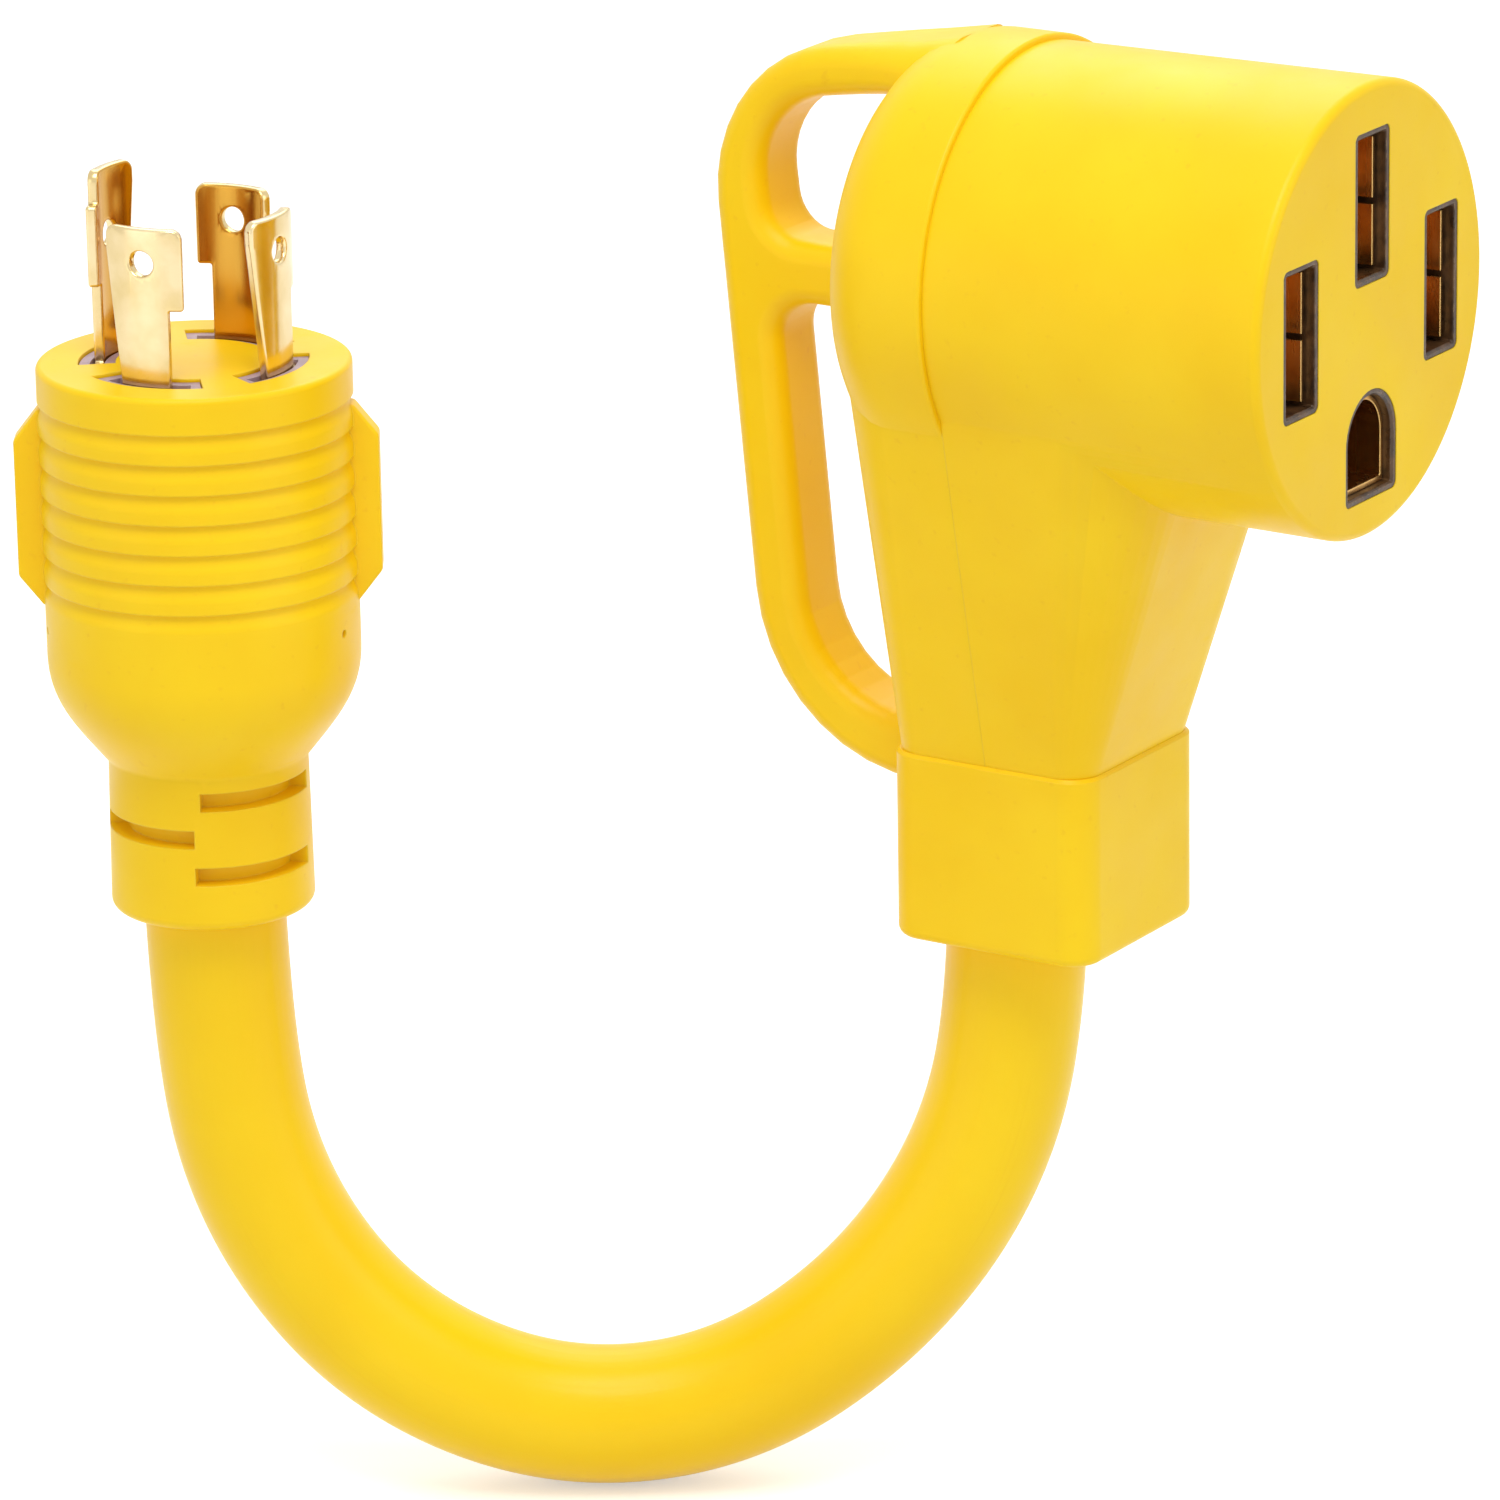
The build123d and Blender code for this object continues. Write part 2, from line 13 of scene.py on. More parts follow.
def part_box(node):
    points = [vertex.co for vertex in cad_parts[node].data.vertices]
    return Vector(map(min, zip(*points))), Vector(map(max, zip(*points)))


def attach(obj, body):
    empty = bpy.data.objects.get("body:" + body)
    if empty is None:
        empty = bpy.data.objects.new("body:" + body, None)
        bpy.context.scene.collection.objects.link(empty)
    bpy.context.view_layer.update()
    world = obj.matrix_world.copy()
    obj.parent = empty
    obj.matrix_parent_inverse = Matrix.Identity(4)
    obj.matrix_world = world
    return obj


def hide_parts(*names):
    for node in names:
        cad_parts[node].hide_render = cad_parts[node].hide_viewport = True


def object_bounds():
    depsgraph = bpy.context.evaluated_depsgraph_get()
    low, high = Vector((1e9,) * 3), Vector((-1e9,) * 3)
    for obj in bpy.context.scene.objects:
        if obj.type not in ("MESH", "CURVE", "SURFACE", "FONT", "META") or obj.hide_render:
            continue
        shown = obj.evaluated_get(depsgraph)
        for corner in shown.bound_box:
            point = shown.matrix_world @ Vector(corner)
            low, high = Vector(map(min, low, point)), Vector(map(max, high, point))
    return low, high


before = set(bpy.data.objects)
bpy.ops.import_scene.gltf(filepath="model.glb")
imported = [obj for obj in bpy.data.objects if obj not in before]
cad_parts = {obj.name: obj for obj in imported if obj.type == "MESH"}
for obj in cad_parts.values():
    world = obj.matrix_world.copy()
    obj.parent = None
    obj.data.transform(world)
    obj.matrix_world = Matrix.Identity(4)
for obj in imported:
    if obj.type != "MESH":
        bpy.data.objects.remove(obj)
cad_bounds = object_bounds()
mm = 0.001

# ----------------------------------------------------------------------
# Socket carrier. One dark brown thermoset moulding fills the mouth of the head. Its four rims come
# through the face, and the brass clips drop into the pockets behind them from the back.

face_low, face_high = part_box("front_shell")
carrier_low, carrier_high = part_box("contact_carrier")
face_x = face_high.x
seam_x = face_low.x

slot_width = 9.2 * mm
slot_height = 20.3 * mm
hot_offset = 18.7 * mm
neutral_rise = 13.9 * mm
ground_width = 13.6 * mm
ground_height = 14.7 * mm
ground_floor = -25.2 * mm
slot_corner = 1.0 * mm
rim_wall = 0.9 * mm
rim_flare = 0.45 * mm
pocket_depth = 23.6 * mm
face_plate = 6.0 * mm


def rounded(corners):
    """An outline through corners given as (across, up, radius), each turned on an arc of its own."""
    points = []
    for index, (across, up, radius) in enumerate(corners):
        here = Vector((across, up))
        arriving = (here - Vector(corners[index - 1][:2])).normalized()
        leaving = (Vector(corners[(index + 1) % len(corners)][:2]) - here).normalized()
        if radius <= 0:
            points.append(here)
            continue
        side = math.copysign(1, arriving.cross(leaving))
        turn = arriving.angle(leaving)
        start = here - arriving * radius * math.tan(turn / 2)
        centre = start + Vector((-arriving.y, arriving.x)) * side * radius
        steps = max(3, round(math.degrees(turn) / 9))
        for step in range(steps + 1):
            arm = start - centre
            arm.rotate(Matrix.Rotation(side * turn * step / steps, 2))
            points.append(centre + arm)
    return points


def new_piece(name, shape):
    """Turns a bmesh into an object and frees the bmesh."""
    bmesh.ops.recalc_face_normals(shape, faces=shape.faces)
    mesh = bpy.data.meshes.new(name)
    shape.to_mesh(mesh)
    shape.free()
    piece = bpy.data.objects.new(name, mesh)
    bpy.context.scene.collection.objects.link(piece)
    return piece


def lofted(name, rings):
    """A closed solid whose skin runs through rings with as many points each, capped at both ends."""
    shape = bmesh.new()
    rows = [[shape.verts.new(point) for point in ring] for ring in rings]
    for lower, upper in zip(rows, rows[1:]):
        for index in range(len(lower)):
            shape.faces.new((lower[index - 1], lower[index], upper[index], upper[index - 1]))
    shape.faces.new(rows[0])
    shape.faces.new(rows[-1])
    return new_piece(name, shape)


def turned(name, outline, place, steps=192):
    """A solid of revolution from (radius, height) points, closed on the axis or in a ring."""
    shape = bmesh.new()
    rows = []
    for radius, height in outline:
        if radius <= 0:
            rows.append([shape.verts.new((0, 0, height))])
            continue
        turns = [2 * math.pi * step / steps for step in range(steps)]
        ring = [(radius * math.cos(turn), radius * math.sin(turn), height) for turn in turns]
        rows.append([shape.verts.new(point) for point in ring])
    pairs = list(zip(rows, rows[1:]))
    if outline[0][0] > 0:
        pairs.append((rows[-1], rows[0]))
    for lower, upper in pairs:
        for index in range(steps):
            corners = [lower[index - 1], lower[index]] if len(lower) > 1 else lower[:]
            corners += [upper[index], upper[index - 1]] if len(upper) > 1 else upper[:]
            if len(corners) > 2:
                shape.faces.new(corners)
    shape.transform(place)
    return new_piece(name, shape)


def applied(piece):
    """Makes what a piece's modifiers give its own mesh."""
    graph = bpy.context.evaluated_depsgraph_get()
    mesh = bpy.data.meshes.new_from_object(piece.evaluated_get(graph))
    piece.modifiers.clear()
    piece.data = mesh


def carve(piece, tools, operation="DIFFERENCE"):
    """Cuts solids out of a piece, joins them to it or keeps what they share."""
    for tool in tools:
        step = piece.modifiers.new("carve", "BOOLEAN")
        step.operation = operation
        step.solver = "EXACT"
        step.object = tool
        applied(piece)
        bpy.data.objects.remove(tool)
    return piece


def finished(piece, material, nodes, edge=32):
    """Shades a piece, gives it its material and slot, and stands it in for its CAD nodes."""
    shape = bmesh.new()
    shape.from_mesh(piece.data)
    bmesh.ops.remove_doubles(shape, verts=shape.verts, dist=0.002 * mm)
    bmesh.ops.dissolve_degenerate(shape, edges=shape.edges, dist=0.002 * mm)
    shape.to_mesh(piece.data)
    shape.free()
    piece.data.materials.clear()
    piece.data.materials.append(material)
    piece.data.shade_smooth()
    piece.data.set_sharp_from_angle(angle=math.radians(edge))
    weighted = piece.modifiers.new("even shading", "WEIGHTED_NORMAL")
    weighted.keep_sharp = True
    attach(piece, "root")
    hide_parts(*nodes)
    return piece


def along_x(outline, start, end, grow=0.0):
    """Two rings of (y, z) points at two places along X, the second drawn out about its middle."""
    middle = sum(outline, Vector((0, 0))) / len(outline)
    rings = []
    for x, share in ((start, 0.0), (end, grow)):
        spread = [point + (point - middle).normalized() * share for point in outline]
        rings.append([Vector((x, point.x, point.y)) for point in spread])
    return rings


def socket_outline(name, inset):
    """One opening of the face as (y, z) points, drawn in by a margin."""
    corner = max(slot_corner - inset, 0.3 * mm)
    if name == "ground":
        half = ground_width / 2 - inset
        low = ground_floor + inset
        high = ground_floor + ground_height - inset
        return rounded([(-half, low, corner), (half, low, corner), (half, high, half), (-half, high, half)])
    centre = {"hot_one": (-hot_offset, 0.0), "neutral": (0.0, neutral_rise), "hot_two": (hot_offset, 0.0)}
    y, z = centre[name]
    half = slot_width / 2 - inset
    rise = slot_height / 2 - inset
    sides = [(-half, -rise), (half, -rise), (half, rise), (-half, rise)]
    return rounded([(y + across, z + up, corner) for across, up in sides])


poles = ["hot_one", "neutral", "hot_two", "ground"]
to_x = Matrix.Rotation(math.radians(90), 4, "Y")
carrier_radius = carrier_high.z
carrier_back = carrier_low.x
carrier_front = face_x - face_plate

carrier_disc = [(0, carrier_back), (carrier_radius, carrier_back),
                (carrier_radius, carrier_front), (0, carrier_front)]
carrier = turned("socket_carrier", carrier_disc, to_x)
for pole in poles:
    rim = lofted("rim", along_x(socket_outline(pole, 0.05 * mm), carrier_front - 1 * mm, face_x - 0.1 * mm))
    carve(carrier, [rim], "UNION")
for pole in poles:
    pocket = lofted("pocket", along_x(socket_outline(pole, rim_wall), face_x - pocket_depth, face_x + 1 * mm))
    mouth = socket_outline(pole, rim_wall)
    flare = lofted("flare", along_x(mouth, face_x - rim_flare, face_x + 0.01 * mm, rim_flare))
    carve(carrier, [pocket, flare])


def start_material(name, roughness, metallic=0.0):
    """A new material, with its shader and the object's own coordinates."""
    material = bpy.data.materials.new(name)
    material.use_nodes = True
    tree = material.node_tree
    shader = tree.nodes["Principled BSDF"]
    shader.inputs["Roughness"].default_value = roughness
    shader.inputs["Metallic"].default_value = metallic
    return material, tree, shader


def grain(tree, scale, detail=2.0, stretch=(1, 1, 1), roughness=0.5):
    """Noise that runs through the solid, drawn out along the piece's own axes."""
    place = tree.nodes.new("ShaderNodeTexCoord")
    mapping = tree.nodes.new("ShaderNodeMapping")
    mapping.inputs["Scale"].default_value = stretch
    noise = tree.nodes.new("ShaderNodeTexNoise")
    noise.inputs["Scale"].default_value = scale
    noise.inputs["Detail"].default_value = detail
    noise.inputs["Roughness"].default_value = roughness
    tree.links.new(place.outputs["Object"], mapping.inputs["Vector"])
    tree.links.new(mapping.outputs["Vector"], noise.inputs["Vector"])
    return noise.outputs["Fac"]


def ranged(tree, value, low, high, to_low, to_high):
    """Spreads a value from one range over another, and stops at its ends."""
    node = tree.nodes.new("ShaderNodeMapRange")
    for name, number in zip(("From Min", "From Max", "To Min", "To Max"), (low, high, to_low, to_high)):
        node.inputs[name].default_value = number
    tree.links.new(value, node.inputs["Value"])
    return node.outputs["Result"]


def mixed(tree, share, first, second):
    """Two colours, or an earlier mix and a colour, mixed by a share."""
    node = tree.nodes.new("ShaderNodeMix")
    node.data_type = "RGBA"
    tree.links.new(share, node.inputs["Factor"])
    for socket, colour in ((node.inputs["A"], first), (node.inputs["B"], second)):
        if isinstance(colour, tuple):
            socket.default_value = (*colour, 1)
        else:
            tree.links.new(colour, socket)
    return node.outputs["Result"]


def combined(tree, first, second, operation="ADD"):
    """Two values, or a value and a number, put through one operation."""
    node = tree.nodes.new("ShaderNodeMath")
    node.operation = operation
    for socket, value in zip(node.inputs, (first, second)):
        if isinstance(value, (int, float)):
            socket.default_value = value
        else:
            tree.links.new(value, socket)
    return node.outputs["Value"]


def edges_of(tree, radius):
    """The normal eased over the edges within a radius, and how much of an edge a point is on."""
    eased = tree.nodes.new("ShaderNodeBevel")
    eased.samples = 6
    eased.inputs["Radius"].default_value = radius
    plain = tree.nodes.new("ShaderNodeNewGeometry")
    likeness = tree.nodes.new("ShaderNodeVectorMath")
    likeness.operation = "DOT_PRODUCT"
    tree.links.new(eased.outputs["Normal"], likeness.inputs[0])
    tree.links.new(plain.outputs["Normal"], likeness.inputs[1])
    edge = ranged(tree, likeness.outputs["Value"], 1.0, 0.85, 0.0, 1.0)
    return eased.outputs["Normal"], edge


def embossed(tree, shader, height, distance, normal=None):
    """Raises a height over the surface, on top of an eased normal."""
    bump = tree.nodes.new("ShaderNodeBump")
    bump.inputs["Distance"].default_value = distance
    tree.links.new(height, bump.inputs["Height"])
    if normal is not None:
        tree.links.new(normal, bump.inputs["Normal"])
    tree.links.new(bump.outputs["Normal"], shader.inputs["Normal"])


def dark_thermoset():
    """Brown moulding powder: mottled, glossy in the pockets, paler where a rim's edge is rubbed."""
    material, tree, shader = start_material("brown_thermoset", 0.3)
    mottle = ranged(tree, grain(tree, 420, 4), 0.35, 0.65, 0, 1)
    body = mixed(tree, mottle, (0.030, 0.014, 0.006), (0.105, 0.050, 0.018))
    eased, edge = edges_of(tree, 0.25 * mm)
    rubbed = combined(tree, edge, ranged(tree, grain(tree, 900, 3), 0.4, 0.7, 0, 0.7), "MULTIPLY")
    tree.links.new(mixed(tree, rubbed, body, (0.56, 0.36, 0.17)), shader.inputs["Base Color"])
    tree.links.new(ranged(tree, grain(tree, 300, 3), 0.3, 0.7, 0.22, 0.48), shader.inputs["Roughness"])
    embossed(tree, shader, grain(tree, 1500, 3), 0.06 * mm, eased)
    return material


brown_thermoset = dark_thermoset()
finished(carrier, brown_thermoset, ["contact_carrier"])

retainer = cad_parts["contact_retainer_plate"]
for slot in retainer.material_slots:
    slot.material = brown_thermoset

# ----------------------------------------------------------------------
# Socket clips. Each is one strip of spring brass folded into two bowed leaves, slit at mid height
# so that its fingers move apart, with a flat tail and a crimp barrel that grips the wire.

leaf_metal = 0.7 * mm
clip_setback = 1.5 * mm
clip_depth = 22.0 * mm
finger_slit = 0.9 * mm
finger_bow = 0.85 * mm
finger_flare = 0.5 * mm
pinch_depth = 7.0 * mm
tail_width = 4.6 * mm
tail_metal = 1.4 * mm
crimp_radius = 2.5 * mm
crimp_bore = 1.55 * mm


def leaf(name, centre, half_gap, side, low, high):
    """One finger from its flared mouth over the pinch to the back web, as a thickened sheet."""
    shape = bmesh.new()
    rows = []
    steps = 28
    for step in range(steps + 1):
        depth = clip_depth * step / steps
        mouth = finger_flare * math.exp(-depth / (1.6 * mm))
        bow = finger_bow * math.exp(-(((depth - pinch_depth) / (4.5 * mm)) ** 2))
        across = centre[0] + side * (half_gap - leaf_metal - bow + mouth * 0.2)
        row = []
        for share in (0.0, 0.08, 0.5, 0.92, 1.0):
            up = centre[1] + low + (high - low) * share
            row.append(shape.verts.new((face_x - clip_setback - depth, across, up)))
        rows.append(row)
    for near, far in zip(rows, rows[1:]):
        for index in range(len(near) - 1):
            shape.faces.new((near[index], near[index + 1], far[index + 1], far[index]))
    finger = new_piece(name, shape)
    thick = finger.modifiers.new("metal", "SOLIDIFY")
    thick.thickness = leaf_metal
    thick.offset = 0
    applied(finger)
    return finger


def socket_clip(pole):
    """A whole clip: four fingers or a sleeve, the back web, the tail and the crimp barrel."""
    low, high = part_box(f"{pole}_socket_contact")
    margin = rim_wall + 0.1 * mm
    back = face_x - clip_setback - clip_depth
    y = (low.y + high.y) / 2
    z = {"neutral": neutral_rise, "ground": ground_floor + ground_height / 2}.get(pole, 0.0)
    if pole == "ground":
        outer = along_x(socket_outline(pole, margin), back, face_x - clip_setback)
        inner = along_x(socket_outline(pole, margin + leaf_metal), back + leaf_metal, face_x)
        clip = carve(lofted(f"{pole}_clip", outer), [lofted("bore", inner)])
    else:
        web = along_x(socket_outline(pole, margin), back, back + leaf_metal)
        clip = lofted(f"{pole}_clip", web)
        half_gap = slot_width / 2 - margin
        reach = slot_height / 2 - margin - 0.6 * mm
        for side in (-1, 1):
            for bottom, top in ((-reach, -finger_slit / 2), (finger_slit / 2, reach)):
                carve(clip, [leaf("finger", (y, z), half_gap, side, bottom, top)], "UNION")
    half_tail = tail_width / 2
    half_metal = tail_metal / 2
    strip = rounded([(y - half_metal, z - half_tail, 0), (y + half_metal, z - half_tail, 0),
                     (y + half_metal, z + half_tail, 0), (y - half_metal, z + half_tail, 0)])
    crimp_start = low.x + 8.0 * mm
    tail = lofted("tail", along_x(strip, crimp_start - 1 * mm, back + leaf_metal / 2))
    barrel = [(crimp_bore, low.x), (crimp_radius - 0.2 * mm, low.x), (crimp_radius, low.x + 0.2 * mm),
              (crimp_radius, crimp_start - 0.3 * mm), (crimp_radius - 0.3 * mm, crimp_start),
              (0, crimp_start), (0, crimp_start - 1.5 * mm), (crimp_bore, crimp_start - 1.5 * mm)]
    tube = turned("barrel", crimp_outline(barrel), Matrix.Translation((0, y, z)) @ to_x, 40)
    return carve(clip, [tail, tube], "UNION")


def crimp_outline(points):
    """Starts a cup's outline on its axis, so that it turns into a closed solid."""
    start = points.index(next(point for point in points if point[0] <= 0))
    return points[start + 1:] + points[:start + 1]


def painted_reflection_share(tree, axis):
    """How far the surface faces in towards an upright axis, for the amber reflection painted on the hollow
    side of a rolled strip.
    """
    place = tree.nodes.new("ShaderNodeTexCoord")
    surface = tree.nodes.new("ShaderNodeNewGeometry")
    value = place.outputs["Object"]
    for operation, constant in (("SUBTRACT", axis), ("MULTIPLY", (1, 1, 0))):
        node = tree.nodes.new("ShaderNodeVectorMath")
        node.operation = operation
        tree.links.new(value, node.inputs[0])
        node.inputs[1].default_value = constant
        value = node.outputs[0]
    outwards = tree.nodes.new("ShaderNodeVectorMath")
    outwards.operation = "NORMALIZE"
    tree.links.new(value, outwards.inputs[0])
    facing = tree.nodes.new("ShaderNodeVectorMath")
    facing.operation = "DOT_PRODUCT"
    tree.links.new(outwards.outputs[0], facing.inputs[0])
    tree.links.new(surface.outputs["Normal"], facing.inputs[1])
    return ranged(tree, facing.outputs["Value"], -0.3, -0.8, 0.0, 1.0)


def spring_brass(name, low, high, shine, axis=None, painted_reflection_colour=None):
    """Rolled brass: drawn lines, a slight tarnish, brighter cut edges, and, given an axis, an amber
    reflection painted on the faces turned towards it.
    """
    material, tree, shader = start_material(name, 0.25, 1.0)
    tarnish = ranged(tree, grain(tree, 160, 4), 0.35, 0.7, 0, 1)
    drawn = grain(tree, 500, 3, (1, 1, 0.06))
    eased, edge = edges_of(tree, 0.22 * mm)
    body = mixed(tree, tarnish, high, low)
    # Painted reflection: faces turned towards the axis take a darker amber colour instead of the brass
    # colour.
    if axis is not None:
        body = mixed(tree, painted_reflection_share(tree, axis), body, painted_reflection_colour)
    bright = tuple(min(1.0, part * 1.25) for part in high)
    tree.links.new(mixed(tree, edge, body, bright), shader.inputs["Base Color"])
    streaks = ranged(tree, drawn, 0.3, 0.7, shine, shine + 0.12)
    tree.links.new(streaks, shader.inputs["Roughness"])
    embossed(tree, shader, drawn, 0.012 * mm, eased)
    return material


clip_brass = spring_brass("spring_brass", (0.56, 0.28, 0.07), (0.86, 0.52, 0.18), 0.2)
for pole in poles:
    finished(socket_clip(pole), clip_brass, [f"{pole}_socket_contact"])

# ----------------------------------------------------------------------
# Front shell. The barrel and the front half of the neck are one injection moulding in soft yellow
# vinyl. It is a cup that closes over the carrier, and its face leaves the four rims showing.

face_radius = face_high.z + 0.3 * mm
seam_radius = 29.9 * mm
barrel_bore = 25.6 * mm
face_round = 1.2 * mm
collar_low, collar_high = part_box("cord_collar")
collar_half = (collar_high.y - collar_low.y) / 2
collar_corner = 4.5 * mm
neck_top = -10.0 * mm
neck_rear = seam_x - 18.0 * mm
neck_front = seam_x + 32.5 * mm
neck_width = 53.4 * mm
neck_rear_corner = 9.0 * mm
neck_front_corner = 16.0 * mm
neck_step = 0.5 * mm
neck_wall = 3.0 * mm


def neck_ring(rear, front, half, rear_corner, front_corner, height):
    corners = [(rear, -half, rear_corner), (front, -half, front_corner),
               (front, half, front_corner), (rear, half, rear_corner)]
    return [Vector((point.x, point.y, height)) for point in rounded(corners)]


def neck(inset, low):
    """The neck's tapering block, from the collar up into the barrel, drawn in by a wall."""
    half = collar_half - neck_step - inset
    corner = collar_corner - inset
    foot = neck_ring(seam_x - half, seam_x + half, half, corner, corner, low)
    head = neck_ring(neck_rear + inset, neck_front - inset, neck_width / 2 - inset,
                     neck_rear_corner - inset, neck_front_corner - inset, neck_top)
    return lofted("neck", [foot, head])


def half_space(side):
    """A block that fills everything in front of the seam (side 1) or behind it (side -1)."""
    reach = 150 * mm
    square = rounded([(-reach, -reach, 0), (reach, -reach, 0), (reach, reach, 0), (-reach, reach, 0)])
    ends = sorted((seam_x, seam_x + side * reach))
    return lofted("half", along_x(square, *ends))


barrel_skin = rounded([(seam_radius, seam_x, 0), (face_radius, face_x, face_round), (0, face_x, 0)])
front_outline = [
    (0, face_x - face_plate),
    (barrel_bore, face_x - face_plate),
    (barrel_bore, seam_x),
    (seam_radius, seam_x),
    *[(point.x, point.y) for point in barrel_skin[1:]],
]
front_shell = turned("front_shell_moulding", front_outline, to_x, 240)
neck_block = carve(neck(0, collar_high.z), [half_space(1)], "INTERSECT")
core_back = seam_x - 5 * mm
core_front = face_x - face_plate
core_outline = [(0, core_back), (barrel_bore, core_back), (barrel_bore, core_front), (0, core_front)]
bore_core = turned("bore", core_outline, to_x, 240)
neck_hollow = neck(neck_wall, collar_high.z - 1 * mm)
carve(neck_block, [bore_core, neck_hollow])
carve(front_shell, [neck_block], "UNION")
for pole in poles:
    opening = along_x(socket_outline(pole, 0), core_front - 1 * mm, face_x + 1 * mm)
    carve(front_shell, [lofted("opening", opening)])


def clouded_yellow(tree, scale):
    cloud = ranged(tree, grain(tree, scale, 3), 0.3, 0.7, 0, 1)
    return mixed(tree, cloud, (0.910, 0.575, 0.002), (0.960, 0.645, 0.006))


def soften_vinyl(shader):
    """Lets a little light into the vinyl, and keeps its gloss low."""
    shader.inputs["IOR"].default_value = 1.42
    shader.inputs["Specular IOR Level"].default_value = 0.32
    shader.inputs["Subsurface Weight"].default_value = 0.08
    shader.inputs["Subsurface Radius"].default_value = (1.0, 0.55, 0.08)
    shader.inputs["Subsurface Scale"].default_value = 1.2 * mm


def moulded_vinyl(name, edge_radius):
    """Soft yellow vinyl: a satin orange-peel skin, faint flow clouds, and edges rubbed a little paler."""
    material, tree, shader = start_material(name, 0.4)
    body = clouded_yellow(tree, 38)
    fleck = ranged(tree, grain(tree, 700, 2), 0.66, 0.78, 0, 0.35)
    body = mixed(tree, fleck, body, (0.84, 0.48, 0.008))
    eased, edge = edges_of(tree, edge_radius)
    worn = combined(tree, edge, ranged(tree, grain(tree, 260, 4), 0.35, 0.7, 0.15, 0.6), "MULTIPLY")
    tree.links.new(mixed(tree, worn, body, (0.98, 0.74, 0.10)), shader.inputs["Base Color"])
    satin = ranged(tree, grain(tree, 120, 5), 0.3, 0.7, 0.34, 0.46)
    scuff = ranged(tree, grain(tree, 90, 6, (1, 1, 7), 0.65), 0.62, 0.74, 0, 0.12)
    tree.links.new(combined(tree, satin, scuff), shader.inputs["Roughness"])
    embossed(tree, shader, grain(tree, 1300, 2), 0.012 * mm, eased)
    soften_vinyl(shader)
    return material


yellow_vinyl = moulded_vinyl("yellow_vinyl", 0.2 * mm)
finished(front_shell, yellow_vinyl, ["front_shell"])

# ----------------------------------------------------------------------
# Rear cover. The domed back, the rear half of the neck and the carrying loop are one moulding in
# the same vinyl. Its lip laps a little proud over the barrel at the seam.

lip_radius = seam_radius + 0.9 * mm
lip_round = 0.45 * mm
cover_back = neck_rear
cover_round = 10.0 * mm
cover_wall = 2.4 * mm
loop_width = 12.0 * mm
loop_edge = 2.9 * mm
loop_root_x = cover_back + 9.0 * mm
loop_front_top = 31.0 * mm
loop_top = 23.8 * mm
loop_bottom = -73.4 * mm
loop_back_top = -100.0 * mm
loop_back_bottom = -90.9 * mm
loop_bar = 7.0 * mm
loop_strap = 8.2 * mm
loop_web = 8.6 * mm
loop_bottom_bar = 9.3 * mm
loop_web_top = -0.2 * mm
loop_flare_start = -88.0 * mm
loop_flare_end = -66.0 * mm
loop_flare = 0.45


def back_line(z, offset):
    """Where the loop's slanting back strap lies at a height."""
    slope = (loop_back_bottom - loop_back_top) / (loop_top - loop_bottom)
    return loop_back_top + offset + (loop_top - z) * slope


def ceiling_line(x):
    """Where the underside of the loop's sloping top bar lies."""
    slope = (loop_front_top - loop_top) / (loop_root_x - loop_back_top)
    return loop_front_top - loop_bar + (x - loop_root_x) * slope


def loop_outlines():
    """The loop's outside and its two windows, as (x, z) corners."""
    web_low = loop_web_top - loop_web
    floor = loop_bottom + loop_bottom_bar
    inner_back = loop_back_top + loop_strap
    outer = [(loop_root_x, loop_front_top, 0), (loop_back_top, loop_top, 21.4 * mm),
             (loop_back_bottom, loop_bottom, 26.4 * mm), (seam_x - collar_half + 2 * mm, loop_bottom, 0)]
    upper = [(loop_root_x, ceiling_line(loop_root_x), 0), (inner_back, ceiling_line(inner_back), 11.5 * mm),
             (back_line(loop_web_top, loop_strap), loop_web_top, 5.5 * mm), (loop_root_x, loop_web_top, 0)]
    lower = [(loop_root_x, web_low, 0), (back_line(web_low, loop_strap), web_low, 5.0 * mm),
             (back_line(floor, loop_strap), floor, 16.0 * mm), (loop_root_x, floor, 0)]
    return [outer, upper, lower]


def drawn_in(corners, inset):
    """The same corners drawn in by an inset, with arcs about the same centres as before."""
    following = corners[1:] + corners[:1]
    area = sum(here[0] * after[1] - after[0] * here[1] for here, after in zip(corners, following))
    side = math.copysign(1, area)
    result = []
    for index, (across, up, radius) in enumerate(corners):
        here = Vector((across, up))
        arriving = (here - Vector(corners[index - 1][:2])).normalized()
        leaving = (Vector(following[index][:2]) - here).normalized()
        inwards = Vector((-arriving.y - leaving.y, arriving.x + leaving.x)) * side
        place = here + inwards * inset / (1 + arriving.dot(leaving))
        bulge = math.copysign(1, side * arriving.cross(leaving))
        result.append((place.x, place.y, radius - bulge * inset if radius > 0 else 0))
    return result


def eased_levels(half, ease, steps):
    """How far a plate's outline is drawn in at each height, from one face round to the other."""
    levels = []
    for side in (-1, 1):
        for step in range(steps + 1):
            angle = math.radians(90) * (steps - step if side < 0 else step) / steps
            levels.append((ease * (1 - math.cos(angle)), side * (half - ease + ease * math.sin(angle))))
    return levels


def slab(name, corners, levels):
    """A plate in the head's middle plane, from an outline drawn in at each level."""
    rings = []
    for inset, height in levels:
        outline = rounded(drawn_in(corners, inset))
        rings.append([Vector((point.x, height, point.y)) for point in outline])
    return lofted(name, rings)


